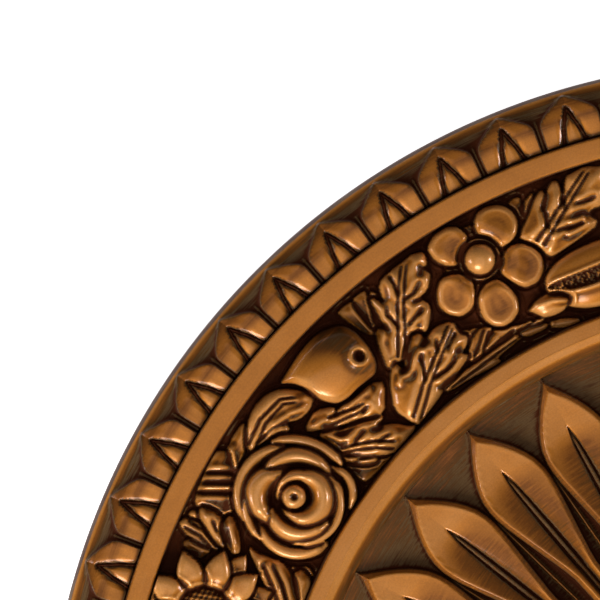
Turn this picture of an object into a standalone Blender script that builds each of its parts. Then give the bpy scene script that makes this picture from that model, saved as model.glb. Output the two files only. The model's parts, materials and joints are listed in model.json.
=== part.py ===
"""A round moulded ceiling medallion, modelled face up.

Its flat back, which is fixed to the ceiling, lies on the plane z = 0 round the origin, and its carved
face looks along +Z. Lengths are in metres and angles in degrees. The rings are named from the centre
out: seat, bead, petals, cove, inner band, garland, flat band, leaf border, lip.
"""

import math

import bmesh
import bpy
from mathutils import Matrix, Vector

# Widths of the rings, from the centre out
SEAT_RADIUS = 0.0580
BEAD_WIDTH = 0.0140
PETAL_RING_WIDTH = 0.1694
COVE_WIDTH = 0.0069
INNER_BAND_WIDTH = 0.0122
GARLAND_WIDTH = 0.0790
FLAT_BAND_WIDTH = 0.0122
LEAF_BORDER_WIDTH = 0.0264
WALL_DRAFT = 0.0029

# Heights above the back
LIP_HEIGHT = 0.0160
SEAT_HEIGHT = 0.0200
BEAD_HEIGHT = 0.0270
FIELD_HEIGHT = 0.0120
INNER_BAND_HEIGHT = 0.0290
GARLAND_FLOOR_HEIGHT = 0.0140
FLAT_BAND_HEIGHT = 0.0255
BORDER_CREST_HEIGHT = 0.0235

# Small forms that the rings share
JOINT_WIDTH = 0.0014
JOINT_DEPTH = 0.0050
COVE_BEND = (0.45, 0.40)
EDGE_ROUND = 0.0011
SINK = 0.0030

# Leaf border: how far in from the lip it is highest, as a share of its width, and its leaves
BORDER_CREST_SHARE = 0.68
BORDER_LEAVES = 65
FIRST_LEAF = 1.44
LEAF_RISE = 0.0026
LEAF_SLOT = 0.0030
LEAF_STATIONS = (
    # share of the border's width from the flat band out, share of the leaf's full width there
    (0.07, 1.00),
    (0.56, 0.96),
)

# Rosette of petals
PETALS = 32
FIRST_PETAL = 6.79
PETAL_RISE = 0.0080
PETAL_GROOVE = 0.0034
PETAL_FLAT = 0.72
PETAL_TIP_RISE = 0.7
PETAL_STATIONS = (
    # share of the ring's width from the bead out, share of half the pitch there, share of the rise
    (-0.01, 0.42, 0.75),
    (0.36, 0.46, 0.80),
    (0.64, 0.80, 0.85),
    (0.80, 0.93, 0.95),
    (0.92, 0.66, 1.00),
)

# Garland: its flowers, fruit and leaves repeat round it. The places run on from the daisy.
GARLAND_REPEATS = 5
FIRST_DAISY = 19.4
ROSE_RISE = 0.0235
FRUIT_RISE = 0.0215
BLOSSOM_RISE = 0.0150
POD_RISE = 0.0165
LEAFAGE_RISE = 0.0105
GARLAND_PLACES = {
    # angle on from the daisy, share of the way across the garland
    "daisy": (0.0, 0.61),
    "rose": (-14.7, 0.39),
    "fruit": (-27.6, 0.74),
    "blossom": (-44.7, 0.67),
    "pod": (-55.0, 0.33),
}
# Sizes as shares of the garland's width: a flower's radius, or a fruit's length and width and its turn
# from the radius through it
DAISY_SIZE = 0.41
ROSE_SIZE = 0.40
BLOSSOM_SIZE = 0.40
FRUIT_SIZE = (0.68, 0.50, 65)
POD_SIZE = (0.62, 0.36, 78)
GARLAND_LEAVES = (
    # (angle, share across) of the leaf's base, then of its tip, then its width as a share of the garland's
    ((-16.6, 0.83), (-24.2, 0.66), 0.25),
    ((-6.6, 0.56), (-8.8, 0.97), 0.30),
    ((-7.3, 0.41), (-4.2, 0.04), 0.30),
    ((-29.2, 0.05), (-21.0, 0.46), 0.22),
    ((-29.4, 0.07), (-39.2, 0.42), 0.42),
    ((-32.0, 0.36), (-39.2, 0.94), 0.38),
    ((-35.0, 0.08), (-50.0, 0.14), 0.13),
    ((-49.8, 0.56), (-57.8, 0.92), 0.38),
    ((-60.5, 0.62), (-68.0, 0.92), 0.34),
    ((-61.5, 0.30), (-67.5, 0.10), 0.34),
)
# A garland leaf's sections: share of the way along it, and share of its width; then how flat its face is
BLADE_STATIONS = ((0.45, 1.0), (0.75, 0.72))
BLADE_FLAT = 0.6

# Tiers of a flower from its foot to its middle: (share of its radius, share of its rise)
ROSE_TIERS = ((1.0, -0.12), (1.0, 0.42), (0.72, 0.55), (0.64, 0.80), (0.30, 1.0), (0.0, 0.84))
OPEN_TIERS = ((1.0, -0.16), (0.94, 0.62), (0.60, 0.74), (0.34, 0.45), (0.26, 1.0), (0.0, 1.15))
ROSE_LOBES, ROSE_SIDES, ROSE_WAVE = 3, 9, 0.06
DAISY_LOBES, BLOSSOM_LOBES, OPEN_WAVE = 7, 5, 0.15

FINISH_COLOUR = (0.33, 0.13, 0.032, 1.0)
FINISH_METALLIC = 0.55
FINISH_ROUGHNESS = 0.42

# Radii where one ring meets the next
BEAD_OUTSIDE = SEAT_RADIUS + BEAD_WIDTH
PETAL_TIPS = BEAD_OUTSIDE + PETAL_RING_WIDTH
INNER_BAND_INSIDE = PETAL_TIPS + COVE_WIDTH
GARLAND_INSIDE = INNER_BAND_INSIDE + INNER_BAND_WIDTH
GARLAND_OUTSIDE = GARLAND_INSIDE + GARLAND_WIDTH
BORDER_INSIDE = GARLAND_OUTSIDE + FLAT_BAND_WIDTH
LIP_RADIUS = BORDER_INSIDE + LEAF_BORDER_WIDTH
OUTER_RADIUS = LIP_RADIUS + WALL_DRAFT


def clear_scene():
    for obj in list(bpy.data.objects):
        bpy.data.objects.remove(obj)


def new_collection(name):
    collection = bpy.data.collections.new(name)
    bpy.context.scene.collection.children.link(collection)
    return collection


def bronze_finish():
    """Antique copper and bronze paint on the moulding."""
    material = bpy.data.materials.new("antique_bronze_finish")
    material.use_nodes = True
    shader = material.node_tree.nodes["Principled BSDF"]
    shader.inputs["Base Color"].default_value = FINISH_COLOUR
    shader.inputs["Metallic"].default_value = FINISH_METALLIC
    shader.inputs["Roughness"].default_value = FINISH_ROUGHNESS
    return material


def object_of(bm, name, collection):
    mesh = bpy.data.meshes.new(name)
    bm.to_mesh(mesh)
    bm.free()
    obj = bpy.data.objects.new(name, mesh)
    collection.objects.link(obj)
    return obj


def polar(radius, angle, height=0.0):
    turn = math.radians(angle)
    return Vector((radius * math.cos(turn), radius * math.sin(turn), height))


def border_height(radius):
    """The ground under the leaf border: it swells from the lip to a crest and falls to the flat band."""
    share = (LIP_RADIUS - radius) / LEAF_BORDER_WIDTH
    swell = BORDER_CREST_HEIGHT - LEAF_RISE - LIP_HEIGHT
    return LIP_HEIGHT + swell * math.sin(math.pi / 2 * share / BORDER_CREST_SHARE)


def turned_profile():
    """The body's section: from the middle of the seat out over the rings, then down and under it."""
    cove = INNER_BAND_HEIGHT - FIELD_HEIGHT
    points = [
        (0.0, SEAT_HEIGHT),
        (SEAT_RADIUS, SEAT_HEIGHT),
        (SEAT_RADIUS + BEAD_WIDTH * 0.4, BEAD_HEIGHT),
        (BEAD_OUTSIDE, FIELD_HEIGHT),
        (PETAL_TIPS - COVE_WIDTH, FIELD_HEIGHT),
        (PETAL_TIPS + COVE_WIDTH * COVE_BEND[0], FIELD_HEIGHT + cove * COVE_BEND[1]),
        (INNER_BAND_INSIDE, INNER_BAND_HEIGHT - EDGE_ROUND),
        (INNER_BAND_INSIDE + EDGE_ROUND * 2, INNER_BAND_HEIGHT),
        (GARLAND_INSIDE, INNER_BAND_HEIGHT - EDGE_ROUND),
        (GARLAND_INSIDE + JOINT_WIDTH, GARLAND_FLOOR_HEIGHT),
        (GARLAND_OUTSIDE - JOINT_WIDTH, GARLAND_FLOOR_HEIGHT),
        (GARLAND_OUTSIDE, FLAT_BAND_HEIGHT),
        (BORDER_INSIDE, FLAT_BAND_HEIGHT),
        (BORDER_INSIDE, FLAT_BAND_HEIGHT - JOINT_DEPTH),
    ]
    crest = LIP_RADIUS - LEAF_BORDER_WIDTH * BORDER_CREST_SHARE
    return points + [(crest, border_height(crest)), (LIP_RADIUS, LIP_HEIGHT), (OUTER_RADIUS, 0.0), (0.0, 0.0)]


def turned_body(collection):
    """The plain rings, turned from their section, with one facet between each leaf and the next."""
    between_leaves = FIRST_LEAF + 180 / BORDER_LEAVES
    bm = bmesh.new()
    corners = [bm.verts.new(polar(radius, between_leaves, height)) for radius, height in turned_profile()]
    for inner, outer in zip(corners, corners[1:]):
        bm.edges.new((inner, outer))
    body = object_of(bm, "medallion", collection)
    screw = body.modifiers.new("turned rings", "SCREW")
    screw.axis = "Z"
    screw.steps = screw.render_steps = BORDER_LEAVES
    screw.use_merge_vertices = True
    screw.merge_threshold = 0.00001
    return body


def loft(bm, rings):
    """A closed solid through rings of as many points each; a ring of one point ends it in a tip."""
    made = [[bm.verts.new(point) for point in ring] for ring in rings]
    for near, far in zip(made, made[1:]):
        count = max(len(near), len(far))
        for i in range(count):
            j = (i + 1) % count
            corners = [near[i % len(near)], near[j % len(near)], far[j % len(far)], far[i % len(far)]]
            bm.faces.new(list(dict.fromkeys(corners)))
    for end in (made[0], made[-1]):
        if len(end) > 2:
            bm.faces.new(end)


def ring_of_copies(bm, count, first_angle, name, collection):
    """The forms in bm, drawn about the +X axis, as an object that holds a full ring of them."""
    bmesh.ops.recalc_face_normals(bm, faces=bm.faces)
    bmesh.ops.rotate(bm, verts=bm.verts[:], matrix=Matrix.Rotation(math.radians(first_angle), 3, "Z"))
    drawn = bm.verts[:] + bm.edges[:] + bm.faces[:]
    for i in range(1, count):
        made = bmesh.ops.duplicate(bm, geom=drawn)["geom"]
        points = [part for part in made if isinstance(part, bmesh.types.BMVert)]
        bmesh.ops.rotate(bm, verts=points, matrix=Matrix.Rotation(math.tau * i / count, 3, "Z"))
    return object_of(bm, name, collection)


def border_leaves(collection):
    """The ring of pointed leaves between the flat band and the lip."""
    bm = bmesh.new()
    half_pitch = math.pi / BORDER_LEAVES
    rings = []
    for share, fullness in LEAF_STATIONS:
        radius = BORDER_INSIDE + LEAF_BORDER_WIDTH * share
        half = (radius * half_pitch - LEAF_SLOT / 2) * fullness
        top = border_height(radius) + LEAF_RISE
        low = border_height(radius) - SINK
        rings.append([(radius, -half, low), (radius, -half, top), (radius, half, top), (radius, half, low)])
    rings.append([(LIP_RADIUS - EDGE_ROUND, 0.0, LIP_HEIGHT - EDGE_ROUND / 2)])
    loft(bm, rings)
    return ring_of_copies(bm, BORDER_LEAVES, FIRST_LEAF, "border_leaves", collection)


def petals(collection):
    """The rosette of petals round the seat, each with a groove down to near its tip."""
    bm = bmesh.new()
    half_pitch = math.pi / PETALS
    low = FIELD_HEIGHT - SINK
    last = len(PETAL_STATIONS) - 1
    rings = []
    for i, (share, fullness, rise) in enumerate(PETAL_STATIONS):
        radius = BEAD_OUTSIDE + PETAL_RING_WIDTH * share
        half = radius * half_pitch * fullness
        top = FIELD_HEIGHT + PETAL_RISE * rise
        middle = top if i == last else top - PETAL_GROOVE
        ring = [(radius, -half, low), (radius, -half * PETAL_FLAT, top), (radius, 0.0, middle)]
        rings.append(ring + [(radius, half * PETAL_FLAT, top), (radius, half, low)])
    rings.append([(PETAL_TIPS, 0.0, FIELD_HEIGHT + PETAL_RISE * PETAL_TIP_RISE)])
    loft(bm, rings)
    return ring_of_copies(bm, PETALS, FIRST_PETAL, "petals", collection)


def garland_point(angle, share):
    """A point on the garland's floor, share of the way across it."""
    return polar(GARLAND_INSIDE + GARLAND_WIDTH * share, angle, GARLAND_FLOOR_HEIGHT)


def flower(bm, name, size, rise, tiers, lobes, sides, wave):
    """A flower as tiers of lobed rings; the lobes fade towards its middle."""
    angle, across = GARLAND_PLACES[name]
    centre = garland_point(angle, across)
    rings = []
    for share, height in tiers:
        ring = []
        for i in range(sides if share else 1):
            turn = 360 * i / sides
            reach = GARLAND_WIDTH * size * share * (1.0 + wave * share * math.cos(math.radians(lobes * turn)))
            ring.append(centre + polar(reach, turn + angle, rise * height))
        rings.append(ring)
    loft(bm, rings)


def fruit(bm, name, size, rise, sides=8, levels=4):
    """The rounded top of a fruit or pod, seated a little below the garland's floor."""
    angle, across = GARLAND_PLACES[name]
    length, width, turn = size
    centre = garland_point(angle, across)
    place = Matrix.Translation(centre) @ Matrix.Rotation(math.radians(angle + turn), 4, "Z")
    half = Matrix.Diagonal((GARLAND_WIDTH * length / 2, GARLAND_WIDTH * width / 2, rise, 1.0))
    made = bmesh.ops.create_uvsphere(bm, u_segments=sides, v_segments=levels, radius=1.0, matrix=place @ half)
    for point in made["verts"]:
        point.co.z = max(point.co.z, centre.z - SINK)


def blade(bm, base, tip, width):
    """A garland leaf from base to tip: it stands on the ground, so that nothing is hollow under it."""
    along = tip - base
    across = Vector((-along.y, along.x, 0.0)).normalized() * width / 2
    foot = Vector((0.0, 0.0, -SINK))
    top = Vector((0.0, 0.0, LEAFAGE_RISE))
    rings = [[base + foot]]
    for share, spread in BLADE_STATIONS:
        middle = base + along * share
        side = across * spread
        face = side * BLADE_FLAT
        rings.append([middle - side + foot, middle - face + top, middle + face + top, middle + side + foot])
    rings.append([tip + foot])
    loft(bm, rings)


def garland(collection):
    """One repeat of the garland of flowers, fruit and leaves, and its copies."""
    bm = bmesh.new()
    flower(bm, "daisy", DAISY_SIZE, BLOSSOM_RISE, OPEN_TIERS, DAISY_LOBES, 2 * DAISY_LOBES, OPEN_WAVE)
    flower(bm, "rose", ROSE_SIZE, ROSE_RISE, ROSE_TIERS, ROSE_LOBES, ROSE_SIDES, ROSE_WAVE)
    flower(bm, "blossom", BLOSSOM_SIZE, BLOSSOM_RISE, OPEN_TIERS, BLOSSOM_LOBES, 2 * BLOSSOM_LOBES, OPEN_WAVE)
    fruit(bm, "fruit", FRUIT_SIZE, FRUIT_RISE)
    fruit(bm, "pod", POD_SIZE, POD_RISE)
    for base, tip, width in GARLAND_LEAVES:
        blade(bm, garland_point(*base), garland_point(*tip), width * GARLAND_WIDTH)
    return ring_of_copies(bm, GARLAND_REPEATS, FIRST_DAISY, "garland", collection)


def main():
    clear_scene()
    parts = new_collection("ceiling_medallion")
    forms = new_collection("carved_forms")
    forms.hide_render = True
    medallion = turned_body(parts)
    medallion.data.materials.append(bronze_finish())
    for carved in (border_leaves(forms), petals(forms), garland(forms)):
        carved.hide_render = True
        carved.display_type = "WIRE"
        join = medallion.modifiers.new(carved.name, "BOOLEAN")
        join.operation = "UNION"
        join.solver = "EXACT"
        join.use_self = carved.name == "garland"
        join.object = carved


main()
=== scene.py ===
"""Moulded ceiling medallion in an antique copper and bronze finish: its carved surface, finish and studio.

Properties, lamps and the camera are in metres. Every other length is in millimetres and is turned to metres
where Blender takes it. The medallion lies face up round the origin. Its relief is drawn as heights over the
plan: x runs to the right and y up as one looks at the face, and angles run anticlockwise from x. Glaze is a
share: 0 is a raised place rubbed bright, 1 a recess full of dark glaze. On the leaf border, the rosette, the
fruit and the blossom it also carries painted shade, painted shadows and painted highlights.
"""

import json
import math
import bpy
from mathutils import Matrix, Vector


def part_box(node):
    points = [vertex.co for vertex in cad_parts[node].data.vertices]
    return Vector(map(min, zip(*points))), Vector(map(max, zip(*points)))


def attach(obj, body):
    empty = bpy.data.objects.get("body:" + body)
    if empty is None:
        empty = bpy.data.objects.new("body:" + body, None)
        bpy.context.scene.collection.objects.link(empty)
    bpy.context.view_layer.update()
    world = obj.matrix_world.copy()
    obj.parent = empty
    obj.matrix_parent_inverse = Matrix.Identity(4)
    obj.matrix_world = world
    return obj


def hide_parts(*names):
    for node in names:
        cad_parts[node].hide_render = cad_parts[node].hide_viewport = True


bl_info = {
    "name": "Ceiling medallion",
    "version": (1, 0, 0),
    "blender": (4, 5, 0),
    "location": "View3D > Sidebar > Medallion",
    "description": "Builds a moulded ceiling medallion with its leaf border, garland and rosette of petals",
    "category": "Add Mesh",
}

from types import SimpleNamespace

import bpy
import mathutils
import numpy as np
from bpy.props import FloatProperty, FloatVectorProperty, IntProperty, PointerProperty, StringProperty

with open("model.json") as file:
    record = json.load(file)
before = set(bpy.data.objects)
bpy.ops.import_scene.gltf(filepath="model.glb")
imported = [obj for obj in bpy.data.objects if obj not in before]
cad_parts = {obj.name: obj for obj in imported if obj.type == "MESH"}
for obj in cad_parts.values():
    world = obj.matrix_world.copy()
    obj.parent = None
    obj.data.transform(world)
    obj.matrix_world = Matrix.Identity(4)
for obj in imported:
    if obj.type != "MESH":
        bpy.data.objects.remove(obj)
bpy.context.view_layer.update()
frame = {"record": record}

MM = 0.001
BODY = "root"
NODE = "medallion"
# Points of neighbouring copies that lie this close become one
WELD = 0.02


def length(name, description, millimetres):
    """The property of a length that is written in millimetres."""
    return FloatProperty(name=name, description=description, default=millimetres * MM, unit="LENGTH")


def bearing(name, description, degrees):
    """The property of an angle that is written in degrees."""
    return FloatProperty(name=name, description=description, default=math.radians(degrees), unit="ROTATION")


def colour(name, description, hex_colour):
    """The property of a colour that is written as sRGB hex."""
    return StringProperty(name=name, description=description, default=hex_colour)


def proportion(name, description, of_one):
    """The property of a share between 0 and 1."""
    return FloatProperty(
        name=name, description=description, default=of_one, min=0.0, max=1.0, subtype="FACTOR"
    )


def watts(name, description, power):
    """The property of a lamp's power."""
    return FloatProperty(name=name, description=description + ", in watts", default=power, min=0.0)


def in_millimetres(group):
    """The values of a property group, its lengths in millimetres."""
    values = {key: getattr(group, key) for key in group.__annotations__}
    for key in values:
        if group.bl_rna.properties[key].unit == "LENGTH":
            values[key] /= MM
    return SimpleNamespace(**values)


# Plan of the rings, which the frame's one solid fixes


class RingSizes(bpy.types.PropertyGroup):
    """Widths of the rings from the centre out, and their heights above the back."""

    seat_radius: length("Seat radius", "Plain seat for a canopy", 58.0)
    bead_width: length("Bead width", "Bead round the seat", 14.0)
    rosette_width: length("Rosette width", "From the bead to the petals' tips", 169.4)
    cove_width: length("Cove width", "Hollow outside the petals", 6.9)
    inner_band_width: length("Inner band width", "Flat band inside the garland", 12.2)
    garland_width: length("Garland width", "Channel that holds the garland", 79.0)
    flat_band_width: length("Flat band width", "Flat band outside the garland", 12.2)
    border_width: length("Leaf border width", "From the flat band to the lip", 26.4)
    wall_draft: length("Wall draft", "How far the side wall leans out", 2.9)
    lip_height: length("Lip height", "Top of the side wall", 16.0)
    seat_height: length("Seat height", "Face of the seat", 20.0)
    bead_height: length("Bead height", "Top of the bead", 27.0)
    field_height: length("Field height", "Ground between the petals", 12.0)
    inner_band_height: length("Inner band height", "Face of the inner band", 29.0)
    garland_floor: length("Garland floor", "Ground of the garland's channel", 14.0)
    flat_band_height: length("Flat band height", "Face of the flat band", 25.5)
    border_crest: length("Border crest", "Highest line of the border's leaves", 23.5)


class Rings:
    """Radii where one ring meets the next, worked out from the widths and held against the frame."""

    def __init__(self, group):
        self.sizes = sizes = in_millimetres(group)
        self.seat = sizes.seat_radius
        self.bead = self.seat + sizes.bead_width
        self.petal_tips = self.bead + sizes.rosette_width
        self.inner_band = self.petal_tips + sizes.cove_width
        self.garland = self.inner_band + sizes.inner_band_width
        self.flat_band = self.garland + sizes.garland_width
        self.border = self.flat_band + sizes.flat_band_width
        self.lip = self.border + sizes.border_width
        self.outside = self.lip + sizes.wall_draft
        # The outer edge alone would pass a seat too wide by as much as the rosette is too narrow
        openings = {opening["name"]: opening["box_m"] for opening in frame["record"]["physics"]["openings"]}
        near_enough = 1.0
        for drawn, kept, what in (
            (self.outside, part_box(NODE)[1][0], "outer edge"),
            (self.seat, math.hypot(*openings["canopy_space"][1][:2]), "seat"),
        ):
            if abs(drawn - kept / MM) > near_enough:
                raise ValueError(f"the {what} is {drawn:.1f} mm in radius, not {kept / MM:.1f} mm")


# Small tools


def smooth(values, low, high):
    """0 below low, 1 above high, and an S between."""
    t = np.clip((values - low) / (high - low), 0.0, 1.0)
    return t * t * (3.0 - 2.0 * t)


def hump(values, width):
    """1 where the values are 0, falling to nothing over about twice the width."""
    return np.exp(-((values / width) ** 2))


def blurred(heights, rows, columns):
    """Heights blurred by a Gaussian of so many cells each way; the columns run round."""
    for axis, cells in enumerate((rows, columns)):
        reach = int(3 * cells) + 1
        kernel = np.exp(-0.5 * (np.arange(-reach, reach + 1) / cells) ** 2)
        pad = [(0, 0), (0, 0)]
        pad[axis] = (reach, reach)
        padded = np.pad(heights, pad, mode=("edge", "wrap")[axis])
        size = heights.shape[axis]
        shares = enumerate(kernel / kernel.sum())
        heights = sum(share * np.take(padded, range(i, i + size), axis) for i, share in shares)
    return heights


def polar_points(radius, angle, height):
    """Points from their radius, angle and height, each a grid or a value for all."""
    x, y, z = np.broadcast_arrays(radius * np.cos(angle), radius * np.sin(angle), height)
    return np.stack([x, y, z], axis=-1).reshape(-1, 3)


def quads(index):
    """Faces between the neighbours in a grid of point numbers."""
    corners = [index[:-1, :-1], index[1:, :-1], index[1:, 1:], index[:-1, 1:]]
    return np.stack(corners, axis=-1).reshape(-1, 4).tolist()


def mesh_object(name, points, faces, glaze):
    """An object at the origin from points, their faces and the glaze at each point."""
    mesh = bpy.data.meshes.new(name)
    mesh.from_pydata(points * MM, [], faces)
    layer = mesh.attributes.new("glaze", "FLOAT", "POINT")
    layer.data.foreach_set("value", np.ascontiguousarray(glaze, np.float32))
    mesh.shade_smooth()
    mesh.validate()
    obj = bpy.data.objects.new(name, mesh)
    bpy.context.scene.collection.objects.link(obj)
    return obj


def stations(end, *runs):
    """Radii along runs of (start, steps), each as far as the next one's start, and the last to the end."""
    stops = [start for start, _ in runs[1:]] + [end]
    parts = [np.linspace(start, stop, steps, endpoint=False) for (start, steps), stop in zip(runs, stops)]
    return np.append(np.concatenate(parts), end)


def crowded(radii, pitch, columns, weigh):
    """Distances across from the middle line at each radius, closer where weigh is high, and mirrored."""
    half_pitch = 0.5 * pitch * radii[:, None]
    samples = 400
    even = half_pitch * np.linspace(0.0, 1.0, samples)
    run = np.cumsum(weigh(even, half_pitch - even), axis=1)
    run = (run - run[:, :1]) / (run[:, -1:] - run[:, :1])
    share = np.linspace(0.0, 1.0, columns // 2 + 1)
    across = np.array([np.interp(share, *row) for row in zip(run, even)])
    return np.hstack([-across[:, :0:-1], across])


def cell_object(name, radius, angle, height, glaze, walls, ends=False):
    """One cell of a ring: its carved top and its walls, each row of them as radius, height and glaze."""
    parts, glazes = [polar_points(radius, angle, height)], [glaze.ravel()]
    for wall_radius, wall_height, wall_glaze in walls:
        edge = angle[-1] if wall_radius > radius[0, 0] else angle[0]
        parts.append(polar_points(wall_radius, edge, wall_height))
        glazes.append(np.full(len(edge), wall_glaze))
    points = np.vstack(parts)
    index = np.arange(len(points)).reshape(-1, angle.shape[1])
    faces = quads(np.vstack([index, index[:1]]))
    if ends:
        faces += [index[:, 0].tolist(), index[::-1, -1].tolist()]
    return mesh_object(name, points, faces, np.concatenate(glazes))


def rounded(corners, steps=4):
    """A section through (radius, height, rounding, glaze) corners, each corner eased over its rounding."""
    corners = [np.array(corner, float) for corner in corners]
    made = []
    for before, here, after in zip(corners[:1] + corners, corners, corners[1:] + corners[-1:]):
        ends = []
        for other in (before, after):
            gap = np.hypot(*(other - here)[:2])
            ends.append(here + (other - here) * (min(0.5, here[2] / gap) if gap else 0.0))
        for t in np.linspace(0.0, 1.0, steps + 1) if here[2] else (0.0,):
            made.append((1 - t) ** 2 * ends[0] + 2 * t * (1 - t) * here + t * t * ends[1])
    return np.array(made)


def turned(name, section, segments):
    """A closed solid turned from a rounded section that starts and ends on the axis."""
    angle = np.linspace(0.0, math.tau, segments, endpoint=False)
    points = polar_points(section[1:-1, :1], angle, section[1:-1, 1:2])
    index = np.arange(len(points)).reshape(-1, segments)
    index = np.hstack([index, index[:, :1]])
    top, under = len(points), len(points) + 1
    first, last = index[0].tolist(), index[-1].tolist()
    faces = quads(index) + [[top, a, b] for a, b in zip(first, first[1:])]
    faces += [[under, b, a] for a, b in zip(last, last[1:])]
    ends = [[0.0, 0.0, section[i, 1]] for i in (0, -1)]
    glaze = np.append(np.repeat(section[1:-1, 3], segments), section[[0, -1], 3])
    return mesh_object(name, np.vstack([points, ends]), faces, glaze)


def add_node(tree, kind, inputs=None, **settings):
    """A node with its settings; an input that is a socket is linked, and any other is its value."""
    node = tree.nodes.new(kind)
    for key, value in settings.items():
        setattr(node, key, value)
    for key, value in (inputs or {}).items():
        if isinstance(value, bpy.types.NodeSocket):
            tree.links.new(value, node.inputs[key])
        else:
            node.inputs[key].default_value = value
    return node


def linear(hex_colour):
    """An sRGB hex colour as linear red, green, blue and alpha."""
    parts = [int(hex_colour[i : i + 2], 16) / 255 for i in (1, 3, 5)]
    return [c / 12.92 if c <= 0.04045 else ((c + 0.055) / 1.055) ** 2.4 for c in parts] + [1.0]


def ring_tree():
    """Geometry Nodes that turn one cell into a full ring: copies about Z, welded, with one finish."""
    name = "ring_of_copies"
    if name in bpy.data.node_groups:
        return bpy.data.node_groups[name]
    tree = bpy.data.node_groups.new(name, "GeometryNodeTree")
    for label, kind in (
        ("Geometry", "Geometry"), ("Count", "Int"), ("First angle", "Float"),
        ("Step", "Float"), ("Weld", "Float"), ("Finish", "Material"),
    ):
        tree.interface.new_socket(label, in_out="INPUT", socket_type="NodeSocket" + kind)
    tree.interface.new_socket("Geometry", in_out="OUTPUT", socket_type="NodeSocketGeometry")
    given = add_node(tree, "NodeGroupInput").outputs
    line = {"Count": given["Count"], "Offset": (0.0, 0.0, 0.0)}
    places = add_node(tree, "GeometryNodeMeshLine", line, mode="OFFSET")
    index = add_node(tree, "GeometryNodeInputIndex")
    steps = {0: index.outputs[0], 1: given["Step"], 2: given["First angle"]}
    turn = add_node(tree, "ShaderNodeMath", steps, operation="MULTIPLY_ADD")
    about_z = add_node(tree, "ShaderNodeCombineXYZ", {"Z": turn.outputs[0]})
    rotation = add_node(tree, "FunctionNodeEulerToRotation", {0: about_z.outputs[0]})
    cell = {"Points": places.outputs[0], "Instance": given["Geometry"], "Rotation": rotation.outputs[0]}
    copies = add_node(tree, "GeometryNodeInstanceOnPoints", cell)
    real = add_node(tree, "GeometryNodeRealizeInstances", {0: copies.outputs[0]})
    seams = {"Geometry": real.outputs[0], "Distance": given["Weld"]}
    welded = add_node(tree, "GeometryNodeMergeByDistance", seams)
    coat = {"Geometry": welded.outputs[0], "Material": given["Finish"]}
    finished = add_node(tree, "GeometryNodeSetMaterial", coat)
    add_node(tree, "NodeGroupOutput", {"Geometry": finished.outputs[0]})
    return tree


def ring_of(cell, name, count, first_angle, weld, material):
    """The cell's copies as one plain mesh; the cell is removed."""
    tree = ring_tree()
    modifier = cell.modifiers.new("ring of copies", "NODES")
    modifier.node_group = tree
    values = {"Count": count, "First angle": first_angle, "Step": math.tau / count, "Weld": weld * MM}
    values["Finish"] = material
    for socket in tree.interface.items_tree:
        if socket.in_out == "INPUT" and socket.name in values:
            modifier[socket.identifier] = values[socket.name]
    graph = bpy.context.evaluated_depsgraph_get()
    mesh = bpy.data.meshes.new_from_object(cell.evaluated_get(graph))
    mesh.name = name
    made = bpy.data.objects.new(name, mesh)
    bpy.context.scene.collection.objects.link(made)
    bpy.data.objects.remove(cell)
    return made


def settle(piece):
    """Puts a finished piece in the frame: it rides on the one body and stands for the solid."""
    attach(piece, BODY)
    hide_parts(NODE)


# Plain rings: one turned solid under the seat, bead, bands, field and garland


def core_section(rings):
    """The rings' section: corners as radius, height, rounding and glaze."""
    s = rings.sizes
    inner, band, edge = s.inner_band_height, s.flat_band_height, 1.1
    bead_side = s.bead_height - 1.5
    cove_drop = inner - s.field_height
    # The rosette and the garland cover the field and the channel, which lie sunk under them
    sunk = 2.2
    field, channel = s.field_height - sunk, s.garland_floor - sunk
    return rounded([
        (0.0, s.seat_height, 0.0, 0.12),
        (rings.seat - 3.0, s.seat_height, 0.4, 0.15),
        (rings.seat - 1.4, s.seat_height - 1.6, 0.6, 0.95),
        (rings.seat + 0.2, s.seat_height, 1.0, 0.8),
        (rings.seat + 1.2, bead_side, 2.4, 0.3),
        (rings.seat + 0.5 * s.bead_width, s.bead_height + 0.6, 3.0, 0.08),
        (rings.bead - 1.6, bead_side, 2.4, 0.3),
        (rings.bead - 0.6, field, 0.8, 0.95),
        (rings.petal_tips + 0.6, field, 1.0, 0.49),
        (rings.petal_tips + 1.2, s.field_height + 0.3, 1.2, 0.47),
        (rings.petal_tips + 0.5 * s.cove_width, s.field_height + 0.24 * cove_drop, 2.4, 0.44),
        (rings.inner_band - 1.0, inner - 3.6, 1.4, 0.30),
        (rings.inner_band, inner - 1.4, 0.6 * edge, 0.12),
        (rings.inner_band + 3.4, inner - 0.4, 0.3, 0.10),
        (rings.inner_band + 3.8, inner + 0.1, 0.3, 0.10),
        (rings.inner_band + 4.4, inner - 0.05, 0.4, 0.14),
        (rings.garland - 0.5, inner - 0.2, edge, 0.15),
        (rings.garland + 0.3, inner - 3.0, 0.4, 0.8),
        (rings.garland + 0.9, channel, 0.6, 1.0),
        (rings.flat_band - 0.9, channel, 0.6, 1.0),
        (rings.flat_band - 0.2, band - 3.0, 0.4, 0.85),
        (rings.flat_band + 0.3, band, edge, 0.20),
        (rings.border - 1.3, band - 0.1, 0.7 * edge, 0.19),
        (rings.border - 0.6, band - 1.8, 0.3, 0.60),
        (rings.border - 0.5, band - 6.0, 0.0, 1.0),
        (rings.border - 0.5, 0.0, 0.0, 1.0),
        (0.0, 0.0, 0.0, 0.4),
    ])


class MEDALLION_OT_rings(bpy.types.Operator):
    """Turn the plain rings: seat, bead, field, bands and the channel that carries the garland"""

    bl_idname = "medallion.rings"
    bl_label = "Plain rings"

    def execute(self, context):
        segments = 300
        core = turned("core", core_section(Rings(context.scene.medallion_rings)), segments)
        core.data.materials.append(bronze_paint(context.scene.medallion_finish))
        settle(core)
        return {"FINISHED"}


# Leaf border


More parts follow.
